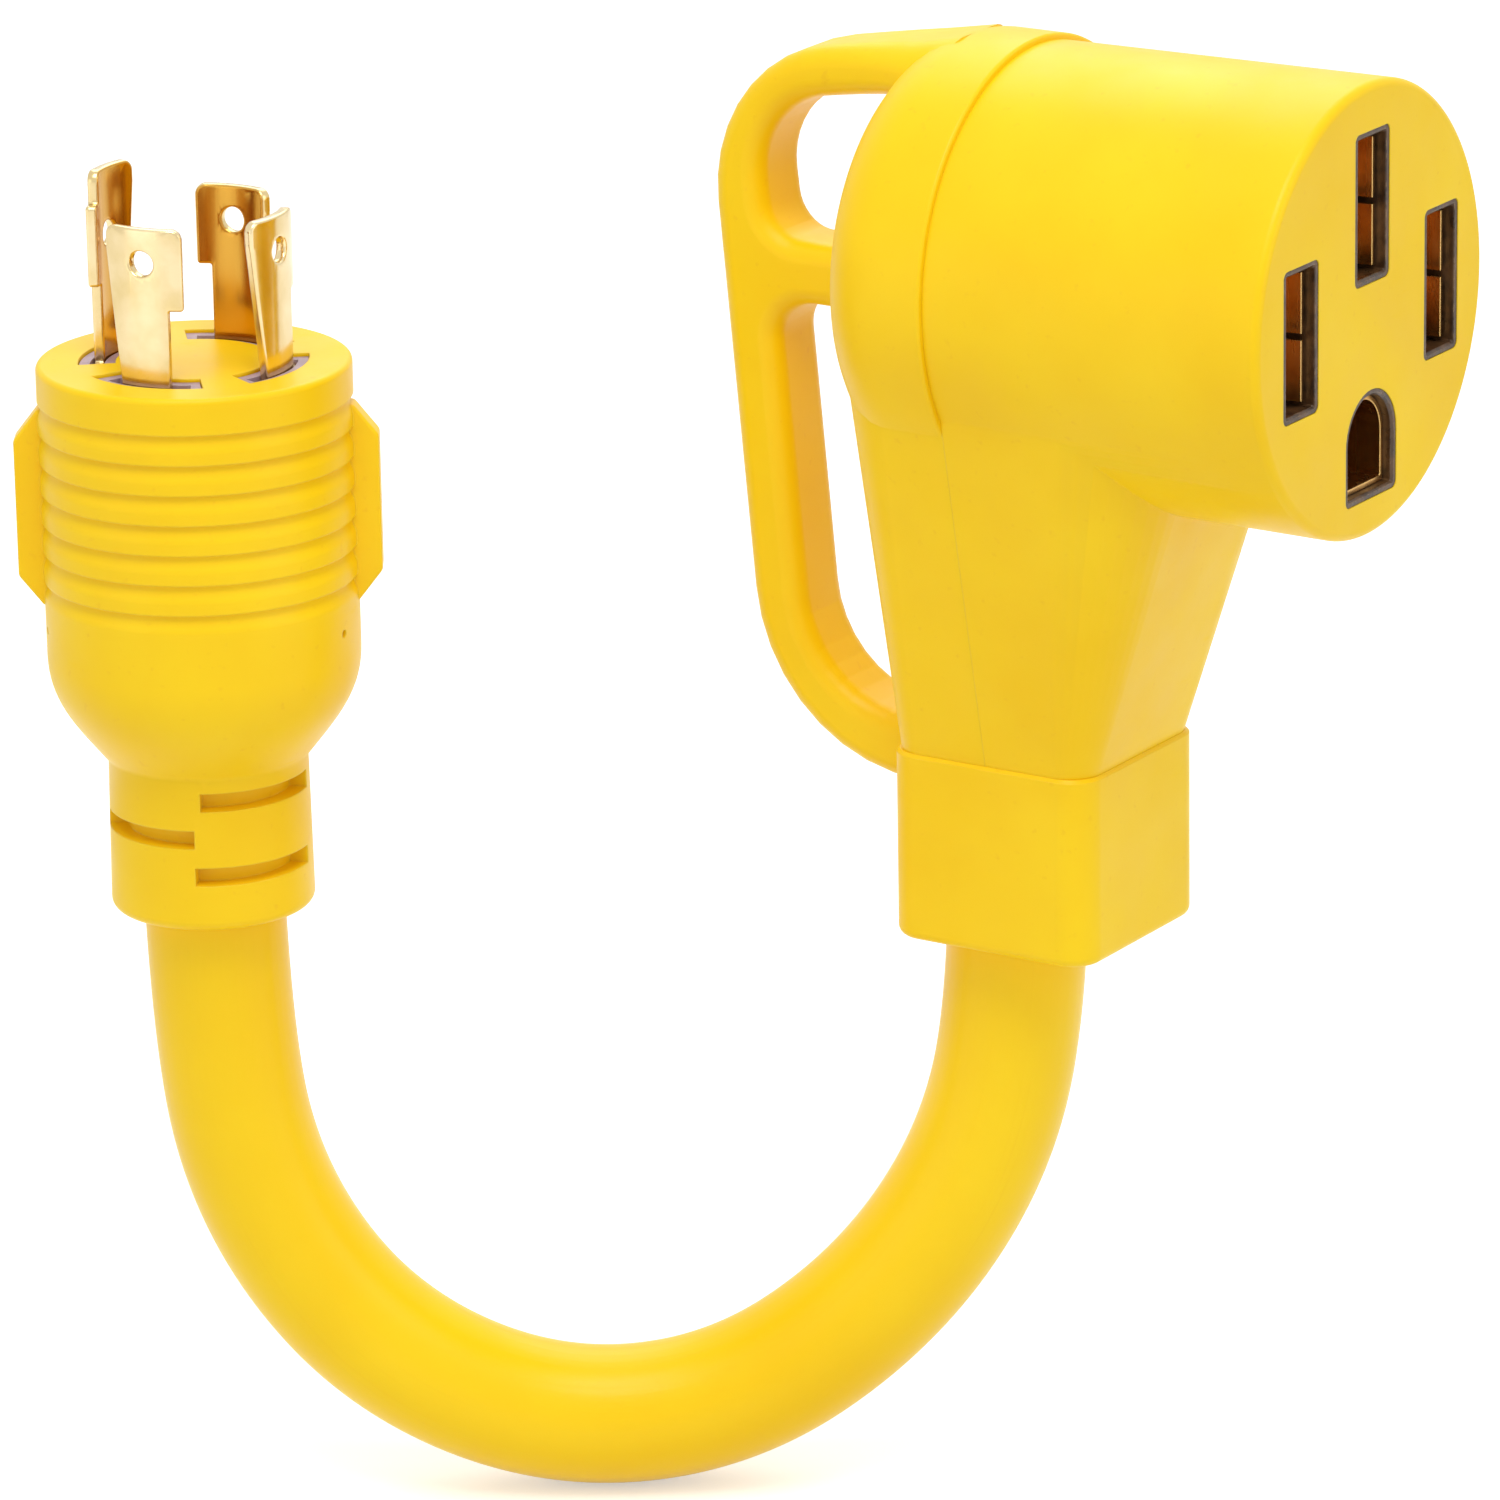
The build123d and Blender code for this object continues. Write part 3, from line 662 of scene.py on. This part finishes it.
def loop_plate():
    """The loop with its two windows. Its top bar widens on its way into the dome."""
    outside, *windows = loop_outlines()
    levels = eased_levels(loop_width / 2, loop_edge, 8)
    plate = slab("loop", outside, levels)
    past = loop_width / 2 + 1 * mm
    flared = [(-loop_edge, -past), *[(-inset, height) for inset, height in levels], (-loop_edge, past)]
    carve(plate, [slab("window", window, flared) for window in windows])
    shape = bmesh.new()
    shape.from_mesh(plate.data)
    steps = 16
    for step in range(steps + 1):
        x = loop_flare_start + (loop_root_x - loop_flare_start) * step / steps
        everything = shape.verts[:] + shape.edges[:] + shape.faces[:]
        bmesh.ops.bisect_plane(shape, geom=everything, plane_co=(x, 0, 0), plane_no=(1, 0, 0))
    for vert in shape.verts:
        if vert.co.z > ceiling_line(vert.co.x) - loop_edge:
            share = (vert.co.x - loop_flare_start) / (loop_flare_end - loop_flare_start)
            share = min(1.0, max(0.0, share))
            vert.co.y *= 1 + loop_flare * share * share
            dome_fall = lip_radius - math.sqrt(lip_radius ** 2 - vert.co.y ** 2)
            vert.co.z -= dome_fall * share * share
    shape.to_mesh(plate.data)
    shape.free()
    return plate


def dome_outline(radius, back, corner, lip):
    """From the axis at the back, round the dome's edge, to the seam."""
    corners = [(0, back, 0), (radius, back, corner), (radius, seam_x, lip), (0, seam_x, 0)]
    return [(point.x, point.y) for point in rounded(corners)]


cover = turned("rear_cover_moulding", dome_outline(lip_radius, cover_back, cover_round, lip_round), to_x, 240)
rear_neck = carve(neck(0, collar_high.z), [half_space(-1)], "INTERSECT")
carve(cover, [rear_neck, loop_plate()], "UNION")
room_outline = dome_outline(barrel_bore, cover_back + cover_wall, cover_round - cover_wall, 0)
inner_dome = turned("room", room_outline, to_x, 240)
inner_neck = carve(neck(neck_wall, collar_high.z - 1 * mm), [half_space(-1)], "INTERSECT")
for room in (inner_dome, inner_neck):
    room.data.transform(Matrix.Translation((0.05 * mm, 0, 0)))
carve(cover, [inner_dome, inner_neck])
finished(cover, yellow_vinyl, ["rear_cover_with_handle"])

# ----------------------------------------------------------------------
# Collar. A square block of the same vinyl, moulded last over the neck's end, the cord and the
# loop's lower root, so that it holds all three together.

collar_round = 1.4 * mm
collar_top_ease = 0.45 * mm
cord_radius = 9.6 * mm
cord_x = seam_x - 4.0 * mm


def collar_ring(height, inset):
    half = collar_half - inset
    corner = collar_corner - inset
    return neck_ring(seam_x - half, seam_x + half, half, corner, corner, height)


collar_rings = []
for step in range(7):
    angle = math.radians(90) * step / 6
    rise = collar_round * (1 - math.cos(angle))
    collar_rings.append(collar_ring(collar_low.z + rise, collar_round * (1 - math.sin(angle))))
collar_rings.append(collar_ring(collar_high.z - collar_top_ease, 0))
collar_rings.append(collar_ring(collar_high.z, collar_top_ease))
collar = lofted("collar_moulding", collar_rings)
bore_ease = 0.5 * mm
cord_hole = cord_radius + 0.1 * mm
cord_stop = collar_low.z + 13.1 * mm
wire_way = 8.2 * mm
bore_outline = [(0, collar_low.z - 1 * mm), (cord_radius + bore_ease + 1 * mm, collar_low.z - 1 * mm),
                (cord_hole, collar_low.z + bore_ease), (cord_hole, cord_stop), (wire_way, cord_stop),
                (wire_way, collar_high.z + 1 * mm), (0, collar_high.z + 1 * mm)]
carve(collar, [turned("bore", bore_outline, Matrix.Translation((cord_x, 0, 0)), 96)])
finished(collar, yellow_vinyl, ["cord_collar"])

# ----------------------------------------------------------------------
# Conductors. Four stranded copper cores in black, white, red and green vinyl, laid round a jute
# filler and wrapped in paper. They run from the socket crimps to the blade crimps, out of sight.


def wire_vinyl(name, colour):
    """Extruded insulation: even colour, fine drag lines along the wire."""
    material, tree, shader = start_material(name, 0.35)
    cloud = ranged(tree, grain(tree, 300, 3), 0.3, 0.7, 0, 1)
    paler = tuple(min(1.0, part * 1.15 + 0.01) for part in colour)
    tree.links.new(mixed(tree, cloud, colour, paler), shader.inputs["Base Color"])
    tree.links.new(ranged(tree, grain(tree, 600, 3), 0.3, 0.7, 0.28, 0.45), shader.inputs["Roughness"])
    embossed(tree, shader, grain(tree, 900, 3, (1, 1, 0.2)), 0.02 * mm)
    return material


def stranded_copper():
    """Bare strands: fine bright ridges with darker copper between them."""
    material, tree, shader = start_material("stranded_copper", 0.3, 1.0)
    strand = grain(tree, 1400, 2, (1, 1, 0.12))
    tree.links.new(mixed(tree, strand, (0.55, 0.22, 0.10), (0.93, 0.52, 0.32)), shader.inputs["Base Color"])
    tree.links.new(ranged(tree, strand, 0.3, 0.7, 0.4, 0.22), shader.inputs["Roughness"])
    embossed(tree, shader, strand, 0.12 * mm)
    return material


def fibre(name, pale, dark):
    """Paper or jute: short fibres, matt, with a ragged height."""
    material, tree, shader = start_material(name, 0.85)
    hair = grain(tree, 800, 5, (1, 1, 0.3), 0.7)
    tree.links.new(mixed(tree, hair, dark, pale), shader.inputs["Base Color"])
    tree.links.new(ranged(tree, hair, 0.3, 0.7, 0.95, 0.75), shader.inputs["Roughness"])
    embossed(tree, shader, hair, 0.15 * mm)
    return material


wire_colours = {"hot_one": (0.018, 0.018, 0.020), "neutral": (0.80, 0.80, 0.77),
                "hot_two": (0.56, 0.020, 0.015), "ground": (0.015, 0.26, 0.060)}
copper = stranded_copper()
hidden_finish = {"conductor_wrap": fibre("wrap_paper", (0.82, 0.78, 0.68), (0.60, 0.52, 0.40)),
                 "centre_filler": fibre("filler_jute", (0.62, 0.48, 0.28), (0.34, 0.24, 0.12))}
for pole in poles:
    hidden_finish[f"{pole}_wire_insulation"] = wire_vinyl(f"{pole}_insulation", wire_colours[pole])
    hidden_finish[f"{pole}_wire_core"] = copper
for node, material in hidden_finish.items():
    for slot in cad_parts[node].material_slots:
        slot.material = material

# ----------------------------------------------------------------------
# Blade insert. A grey nylon disc sits under the plug's face and carries the blades. It shows only
# in the four curved windows, each with a shallow seat round its blade.

plug_low, plug_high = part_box("plug_shell")
plug_x = (plug_low.x + plug_high.x) / 2
plug_y = (plug_low.y + plug_high.y) / 2
plug_top = plug_high.z
bend_plane_turn = math.radians(33)
to_plug = Matrix.Translation((plug_x, plug_y, plug_top)) @ Matrix.Rotation(bend_plane_turn, 4, "Z")
insert_radius = 16.9 * mm
insert_top = -0.45 * mm
insert_bottom = -14.2 * mm
seat_floor = -1.9 * mm
pad_gap = 0.12 * mm
seat_half = 1.0 * mm
stem_half = 0.8 * mm
stem_span = math.radians(29)
blade_circle = 12.9 * mm
blade_metal = 1.5 * mm
window_half = 2.5 * mm
window_span = math.radians(66)
first_blade = math.radians(-115)
blade_turns = {pole: first_blade + math.radians(90) * index for index, pole in enumerate(poles)}


def ring_sector(name, inner, outer, low, high, turn, span, place=to_plug):
    """A slice of a ring about the plug's axis, centred on a turn."""
    steps = max(6, round(math.degrees(span) / 4))
    angles = [turn - span / 2 + span * step / steps for step in range(steps + 1)]
    outline = [(outer * math.cos(angle), outer * math.sin(angle)) for angle in angles]
    outline += [(inner * math.cos(angle), inner * math.sin(angle)) for angle in reversed(angles)]
    rings = [[place @ Vector((x, y, height)) for x, y in outline] for height in (low, high)]
    return lofted(name, rings)


disc = [(0, insert_bottom), (insert_radius, insert_bottom), (insert_radius, insert_top - 0.6 * mm),
        (insert_radius - 0.1 * mm, insert_top - 0.5 * mm), (0, insert_top - 0.5 * mm)]
insert = turned("blade_insert", disc, to_plug, 120)
for pole in poles:
    pad = ring_sector("pad", blade_circle - window_half + pad_gap, blade_circle + window_half - pad_gap,
                      insert_top - 1.5 * mm, insert_top, blade_turns[pole], window_span - math.radians(1.2))
    carve(insert, [pad], "UNION")
for pole in poles:
    seat = ring_sector("seat", blade_circle - seat_half, blade_circle + seat_half,
                       seat_floor, 1 * mm, blade_turns[pole], window_span - math.radians(13))
    stem = ring_sector("stem", blade_circle - stem_half, blade_circle + stem_half,
                       insert_bottom - 1 * mm, 1 * mm, blade_turns[pole], stem_span)
    carve(insert, [seat, stem])


def grey_nylon():
    """Lilac-grey nylon: a dry satin skin with a little gate blush."""
    material, tree, shader = start_material("grey_nylon", 0.45)
    blush = ranged(tree, grain(tree, 240, 3), 0.3, 0.7, 0, 1)
    eased, edge = edges_of(tree, 0.15 * mm)
    body = mixed(tree, blush, (0.30, 0.20, 0.24), (0.46, 0.34, 0.40))
    tree.links.new(mixed(tree, edge, body, (0.62, 0.50, 0.52)), shader.inputs["Base Color"])
    tree.links.new(ranged(tree, grain(tree, 500, 3), 0.3, 0.7, 0.35, 0.55), shader.inputs["Roughness"])
    embossed(tree, shader, grain(tree, 1600, 2), 0.02 * mm, eased)
    return material


finished(insert, grey_nylon(), ["plug_blade_insert"])

# ----------------------------------------------------------------------
# Blades. Each is stamped from brass plate, rolled to the plug's circle, and coined round its edges.
# A hook on one side locks it when the plug is turned. The foot runs down to a crimped barrel.

blade_half = 3.5 * mm
blade_hook = 2.0 * mm
blade_flare = 2.2 * mm
blade_height = 20.9 * mm
ground_extra = 4.3 * mm
notch_height = 9.9 * mm
hole_height = 16.2 * mm
hole_radius = 1.7 * mm
shoulder_drop = 3.0 * mm
blade_corner = 1.5 * mm
coin = 0.35 * mm
foot_half = 6.6 * mm
foot_depth = 1.7 * mm
foot_rise = 0.9 * mm
stem_depth = 20.5 * mm
tail_circle = 10.5 * mm
blade_crimp = 9.5 * mm
cut_pitch = 0.4 * mm


def blade_plate(extra):
    """The blade's flat stamping, coined round its edges: outline, hole, and foot in its seat."""
    top = blade_height + extra
    hook_top = [(blade_half + blade_hook, top, blade_corner)]
    if extra > 0:
        hook_top = [(blade_half + blade_hook, blade_height, 0.5 * mm), (blade_half, blade_height, 0.3 * mm),
                    (blade_half, top, blade_corner)]
    corners = [
        (-blade_half, -stem_depth, 0), (blade_half, -stem_depth, 0),
        (blade_half, -foot_depth, 0), (foot_half, -foot_depth, 0),
        (foot_half, -foot_depth + foot_rise, 0.4 * mm), (blade_half, -foot_depth + foot_rise, 0.2 * mm),
        (blade_half, notch_height, 0.3 * mm), (blade_half + blade_hook, notch_height, 0.5 * mm),
        *hook_top, (-blade_half - blade_flare, top, blade_corner),
        (-blade_half - blade_flare, top - shoulder_drop, 0.8 * mm), (-blade_half, -foot_depth, 0),
    ]
    turns = [math.tau * step / 40 for step in range(40)]
    shape = bmesh.new()
    rows = []
    for inset, height in eased_levels(blade_metal / 2, coin, 3):
        reach = hole_radius + inset
        hole = [Vector((reach * math.cos(turn), hole_height + reach * math.sin(turn))) for turn in turns]
        loops = [rounded(drawn_in(corners, inset)), hole]
        rows.append([[shape.verts.new((point.x, point.y, height)) for point in loop] for loop in loops])
    for lower, upper in zip(rows, rows[1:]):
        for near, far in zip(lower, upper):
            for index in range(len(near)):
                shape.faces.new((near[index - 1], near[index], far[index], far[index - 1]))
    for row in (rows[0], rows[-1]):
        border = []
        for loop in row:
            border += [shape.edges.get((loop[index - 1], loop[index])) for index in range(len(loop))]
        bmesh.ops.triangle_fill(shape, use_beauty=True, edges=border)
    return shape


def plug_blade(pole):
    """A plate rolled to the plug's circle, with its shelf and crimp barrel below."""
    shape = blade_plate(ground_extra if pole == "ground" else 0.0)
    cuts = 16
    for step in range(-cuts, cuts + 1):
        everything = shape.verts[:] + shape.edges[:] + shape.faces[:]
        bmesh.ops.bisect_plane(shape, geom=everything, plane_co=(step * cut_pitch, 0, 0), plane_no=(1, 0, 0))
    for vert in shape.verts:
        angle = blade_turns[pole] + vert.co.x / blade_circle
        radius = blade_circle + vert.co.z
        vert.co = to_plug @ Vector((radius * math.cos(angle), radius * math.sin(angle), vert.co.y))
    blade = new_piece(f"{pole}_blade", shape)
    turn = blade_turns[pole]
    shelf = ring_sector("shelf", tail_circle - 2 * mm, blade_circle + blade_metal / 2 - 0.05 * mm,
                        -stem_depth - 1.5 * mm, -stem_depth + 0.2 * mm, turn, math.radians(18))
    mouth = -stem_depth - blade_crimp
    barrel = [(crimp_bore, -stem_depth - 1.5 * mm), (crimp_bore, mouth), (crimp_radius - 0.2 * mm, mouth),
              (crimp_radius, mouth + 0.2 * mm), (crimp_radius, -stem_depth), (0, -stem_depth),
              (0, -stem_depth - 1.5 * mm)]
    place = to_plug @ Matrix.Translation((tail_circle * math.cos(turn), tail_circle * math.sin(turn), 0))
    carve(blade, [shelf, turned("barrel", crimp_outline(barrel), place, 40)], "UNION")
    return blade


# The last two values are the plug's axis and the darker amber of the reflection painted on the blades' hollow
# faces.
blade_brass = spring_brass("blade_brass", (0.70, 0.53, 0.23), (0.84, 0.68, 0.40), 0.13,
                           (plug_x, plug_y, 0), (0.62, 0.33, 0.05))
blades = [finished(plug_blade(pole), blade_brass, [f"{pole}_plug_blade"]) for pole in poles]

# ----------------------------------------------------------------------
# Plug body. Soft yellow vinyl moulded over the insert and the cord's end. It has seven grip ribs,
# two flat wings to turn it by, a rounded shoulder, and a strain relief slotted so that it can flex.

plug_radius = 21.1 * mm
plug_length = plug_high.z - plug_low.z
first_rib = 5.0 * mm
rib_pitch = 4.1 * mm
rib_band = 1.7 * mm
rib_depth = 0.62 * mm
rib_count = 7
face_edge = 0.8 * mm
straight_end = -40.0 * mm
crease = -55.0 * mm
relief_radius = 13.5 * mm
relief_flare = 0.3 * mm
relief_round = 1.4 * mm
wing_reach = 24.4 * mm
wing_half = 2.0 * mm
wing_top = -6.2 * mm
wing_bottom = -33.4 * mm
wing_slope = 4.2 * mm
wing_round = 0.55 * mm
plug_cord_stop = -57.4 * mm
fan_radius = 16.4 * mm
fan_bottom = -38 * mm
insert_hole = insert_radius + 0.1 * mm


def plug_profile():
    """The body from the face down to the cord: ribs with a crisp lower lip, shoulder and relief."""
    points = [(0, 0)]
    points += [(plug_radius - face_edge + face_edge * math.sin(math.radians(15 * step)),
                -face_edge + face_edge * math.cos(math.radians(15 * step))) for step in range(7)]
    for rib in range(1, rib_count + 1):
        lip = -first_rib - (rib - 1) * rib_pitch
        points.append((plug_radius, lip + 0.10 * mm))
        points.append((plug_radius - 0.10 * mm, lip))
        points.append((plug_radius - rib_depth, lip - 0.06 * mm))
        for step in range(1, 7):
            share = step / 6
            ease = (1 - math.cos(math.pi * share)) / 2
            height = lip - 0.2 * mm - share * (rib_pitch - rib_band)
            points.append((plug_radius - rib_depth * (1 - ease), height))
    points.append((plug_radius, straight_end))
    start = Vector((plug_radius, straight_end, 0))
    end = Vector((relief_radius, crease, 0))
    handles = (start + Vector((0, -6.2 * mm, 0)), end + Vector((4.4 * mm, 5.6 * mm, 0)))
    points += [(point.x, point.y) for point in interpolate_bezier(start, *handles, end, 18)[1:]]
    foot = relief_radius + relief_flare
    tail = rounded([(relief_radius, crease, 0), (foot, -plug_length, relief_round),
                    (cord_hole, -plug_length, 0)])
    points += [(point.x, point.y) for point in tail[1:]]
    return points


def plug_room():
    """The hollow for the insert, the fanned wires and the cord's end, up to the face's skin."""
    skin = -1.2 * mm
    return [(cord_hole, plug_cord_stop), (wire_way, plug_cord_stop), (wire_way, crease),
            (fan_radius, fan_bottom), (fan_radius, insert_bottom), (insert_hole, insert_bottom),
            (insert_hole, skin), (0, skin)]


def wing():
    """Both wings as one flat bar through the plug, chamfered at its corners and softened all round."""
    inner = plug_radius - 1.5 * mm
    bars = []
    for side in (-1, 1):
        corners = [(inner, wing_top, 0), (plug_radius, wing_top, 0.8 * mm),
                   (wing_reach, wing_top - wing_slope, 1.2 * mm),
                   (wing_reach, wing_bottom + wing_slope, 1.2 * mm),
                   (plug_radius, wing_bottom, 0.8 * mm), (inner, wing_bottom, 0)]
        outline = rounded(corners)
        middle = sum(outline, Vector((0, 0))) / len(outline)
        rings = []
        for step in range(9):
            angle = math.radians(-90 + 180 * step / 8)
            depth = wing_round * (1 - math.cos(angle))
            across = (wing_half - wing_round) * (1 if angle > 0 else -1) + wing_round * math.sin(angle)
            shrunk = [point + (middle - point).normalized() * depth for point in outline]
            rings.append([to_plug @ Vector((side * point.x, across, point.y)) for point in shrunk])
        bars.append(lofted("wing", rings))
    return bars


relief_slots = [(-56.6 * mm, -52), (-61.8 * mm, -136), (-67.0 * mm, -56)]
relief_slot_height = 2.5 * mm
relief_slot_floor = relief_radius - 2.4 * mm
pin_marks = [-24, -167]
pin_mark_drop = -36 * mm
pin_mark_radius = 0.55 * mm

plug = turned("plug_moulding", plug_profile() + plug_room(), to_plug, 256)
carve(plug, wing(), "UNION")
for pole in poles:
    window = ring_sector("window", blade_circle - window_half, blade_circle + window_half,
                         -2.5 * mm, 1 * mm, blade_turns[pole], window_span)
    carve(plug, [window])
for top, turn in relief_slots:
    for half in (0, 180):
        slot = ring_sector("slot", relief_slot_floor, relief_radius + 3 * mm, top - relief_slot_height, top,
                           math.radians(turn + half), math.radians(80))
        carve(plug, [slot])
for turn in pin_marks:
    around = math.radians(turn)
    out = Matrix.Rotation(around, 4, "Z") @ Matrix.Translation((plug_radius, 0, pin_mark_drop))
    dimple = [(0, -0.5 * mm), (pin_mark_radius, -0.5 * mm), (pin_mark_radius, 1 * mm), (0, 1 * mm)]
    carve(plug, [turned("pin", dimple, to_plug @ out @ Matrix.Rotation(math.radians(90), 4, "Y"), 24)])
finished(plug, moulded_vinyl("plug_vinyl", 0.35 * mm), ["plug_shell"], 40)

# ----------------------------------------------------------------------
# Cord. A round yellow vinyl jacket over the four conductors, 19.2 mm across and 232 mm long. It
# leaves the collar straight down, turns in one stiff U and rises into the plug's strain relief.

collar_bottom = collar_low.z
cord_points = [
    (0.0, 13.0),
    (0.0, -10.2),
    (5.0, -34.2),
    (19.0, -55.2),
    (40.5, -70.2),
    (66.0, -72.2),
    (89.9, -60.2),
    (105.3, -37.2),
    (109.3, -9.2),
    (109.3, 18.8),
]


def on_route(along, height):
    """A point of the cord's bend plane: how far towards the plug, and above the collar's bottom."""
    x = cord_x - along * mm * math.cos(bend_plane_turn)
    y = -along * mm * math.sin(bend_plane_turn)
    return (x, y, collar_bottom + height * mm)


jacket_line = bpy.data.curves.new("cord", "CURVE")
jacket_line.dimensions = "3D"
route = jacket_line.splines.new("NURBS")
route.points.add(len(cord_points) - 1)
for knot, (along, height) in zip(route.points, cord_points):
    knot.co = (*on_route(along, height), 1)
route.order_u = 3
route.use_endpoint_u = True
jacket_line.resolution_u = 24
jacket_line.bevel_depth = cord_radius
jacket_line.bevel_resolution = 14
jacket_line.use_fill_caps = True
jacket = bpy.data.objects.new("cord", jacket_line)
bpy.context.scene.collection.objects.link(jacket)


def jacket_vinyl():
    """Extruded jacket: a smoother skin than the mouldings, with faint lines drawn along its length."""
    material, tree, shader = start_material("jacket_vinyl", 0.36)
    place = tree.nodes.new("ShaderNodeTexCoord")
    mapping = tree.nodes.new("ShaderNodeMapping")
    mapping.inputs["Scale"].default_value = (1.2, 26, 1)
    drag = tree.nodes.new("ShaderNodeTexNoise")
    drag.inputs["Scale"].default_value = 3.0
    drag.inputs["Detail"].default_value = 4.0
    tree.links.new(place.outputs["UV"], mapping.inputs["Vector"])
    tree.links.new(mapping.outputs["Vector"], drag.inputs["Vector"])
    body = clouded_yellow(tree, 30)
    line = ranged(tree, drag.outputs["Fac"], 0.62, 0.8, 0, 0.25)
    tree.links.new(mixed(tree, line, body, (0.86, 0.50, 0.006)), shader.inputs["Base Color"])
    satin = ranged(tree, drag.outputs["Fac"], 0.3, 0.7, 0.30, 0.40)
    tree.links.new(satin, shader.inputs["Roughness"])
    embossed(tree, shader, combined(tree, drag.outputs["Fac"], grain(tree, 1100, 2), "ADD"), 0.02 * mm)
    soften_vinyl(shader)
    return material


jacket_line.materials.append(jacket_vinyl())
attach(jacket, "root")
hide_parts("cord_jacket")

# ----------------------------------------------------------------------
# Studio. A pale floor just under the cord, four soft lamps round the object, and the camera.

floor_z = cad_bounds[0][2] - 0.4 * mm
floor_shape = bmesh.new()
bmesh.ops.create_grid(floor_shape, x_segments=2, y_segments=2, size=6.0)
floor_shape.transform(Matrix.Translation((0, 0, floor_z)))
floor = new_piece("floor", floor_shape)


def seen_or_mirrored(tree):
    """One for rays from the camera, a gloss or a clear surface, and nothing for the rest."""
    path = tree.nodes.new("ShaderNodeLightPath")
    seen = combined(tree, path.outputs["Is Camera Ray"], path.outputs["Is Glossy Ray"], "MAXIMUM")
    return combined(tree, seen, path.outputs["Is Transmission Ray"], "MAXIMUM")


def pale_floor():
    """A matt white sweep that the camera sees as plain white, apart from the object's shadow."""
    material, tree, shader = start_material("pale_floor", 0.9)
    paper = grain(tree, 40, 4)
    tree.links.new(mixed(tree, paper, (0.80, 0.80, 0.79), (0.84, 0.84, 0.83)), shader.inputs["Base Color"])
    seen = seen_or_mirrored(tree)
    glow = tree.nodes.new("ShaderNodeEmission")
    tree.links.new(combined(tree, seen, 0.45, "MULTIPLY"), glow.inputs["Strength"])
    both = tree.nodes.new("ShaderNodeAddShader")
    tree.links.new(shader.outputs["BSDF"], both.inputs[0])
    tree.links.new(glow.outputs["Emission"], both.inputs[1])
    tree.links.new(both.outputs["Shader"], tree.nodes["Material Output"].inputs["Surface"])
    return material


floor.data.materials.append(pale_floor())

world = bpy.data.worlds.new("studio")
bpy.context.scene.world = world
world.use_nodes = True
sky = world.node_tree
ambient = sky.nodes["Background"]
ambient.inputs["Color"].default_value = (1.0, 1.0, 1.0, 1)
ambient.inputs["Strength"].default_value = 0.62
backdrop = sky.nodes.new("ShaderNodeBackground")
backdrop.inputs["Color"].default_value = (1, 1, 1, 1)
backdrop.inputs["Strength"].default_value = 1.0
choice = sky.nodes.new("ShaderNodeMixShader")
sky.links.new(seen_or_mirrored(sky), choice.inputs["Fac"])
sky.links.new(ambient.outputs["Background"], choice.inputs[1])
sky.links.new(backdrop.outputs["Background"], choice.inputs[2])
sky.links.new(choice.outputs["Shader"], sky.nodes["World Output"].inputs["Surface"])

middle = (Vector(cad_bounds[0]) + Vector(cad_bounds[1])) / 2


def softbox(name, turn, height, distance, size, power):
    """A square lamp that looks at the middle of the object from a turn and a height in degrees."""
    lamp = bpy.data.lights.new(name, "AREA")
    lamp.shape = "RECTANGLE"
    lamp.size, lamp.size_y = size
    lamp.energy = power
    holder = bpy.data.objects.new(name, lamp)
    bpy.context.scene.collection.objects.link(holder)
    turn, height = math.radians(turn), math.radians(height)
    away = Vector((math.sin(turn) * math.cos(height), -math.cos(turn) * math.cos(height), math.sin(height)))
    holder.location = middle + away * distance
    holder.rotation_euler = away.to_track_quat("Z", "Y").to_euler()


softbox("key", 25, 66, 0.9, (0.5, 0.5), 4.0)
softbox("side", 95, 20, 0.9, (0.4, 0.7), 1.0)
softbox("fill", -20, 8, 0.9, (0.6, 0.6), 0.6)
softbox("rear", -150, 45, 0.9, (0.6, 0.6), 2.0)

# The camera stands in front of the head's right side, a little above it and a long way off.
camera_turn = math.radians(33.09)
camera_rise = math.radians(17.53)
camera_roll = math.radians(-1.0)
camera_place = Vector((515.4, -940.1, 279.6)) * mm
back = Vector((math.sin(camera_turn) * math.cos(camera_rise),
               -math.cos(camera_turn) * math.cos(camera_rise), math.sin(camera_rise)))
right = Vector((math.cos(camera_turn), math.sin(camera_turn), 0))
up = back.cross(right)
image_right = math.cos(camera_roll) * right + math.sin(camera_roll) * up
image_up = math.cos(camera_roll) * up - math.sin(camera_roll) * right
lens = bpy.data.cameras.new("camera")
lens.sensor_width = 36
lens.lens = 204.768
camera = bpy.data.objects.new("camera", lens)
bpy.context.scene.collection.objects.link(camera)
facing = Matrix((image_right, image_up, back)).transposed().to_4x4()
camera.matrix_world = Matrix.Translation(camera_place) @ facing
bpy.context.scene.camera = camera
bpy.context.scene.view_settings.view_transform = "Standard"
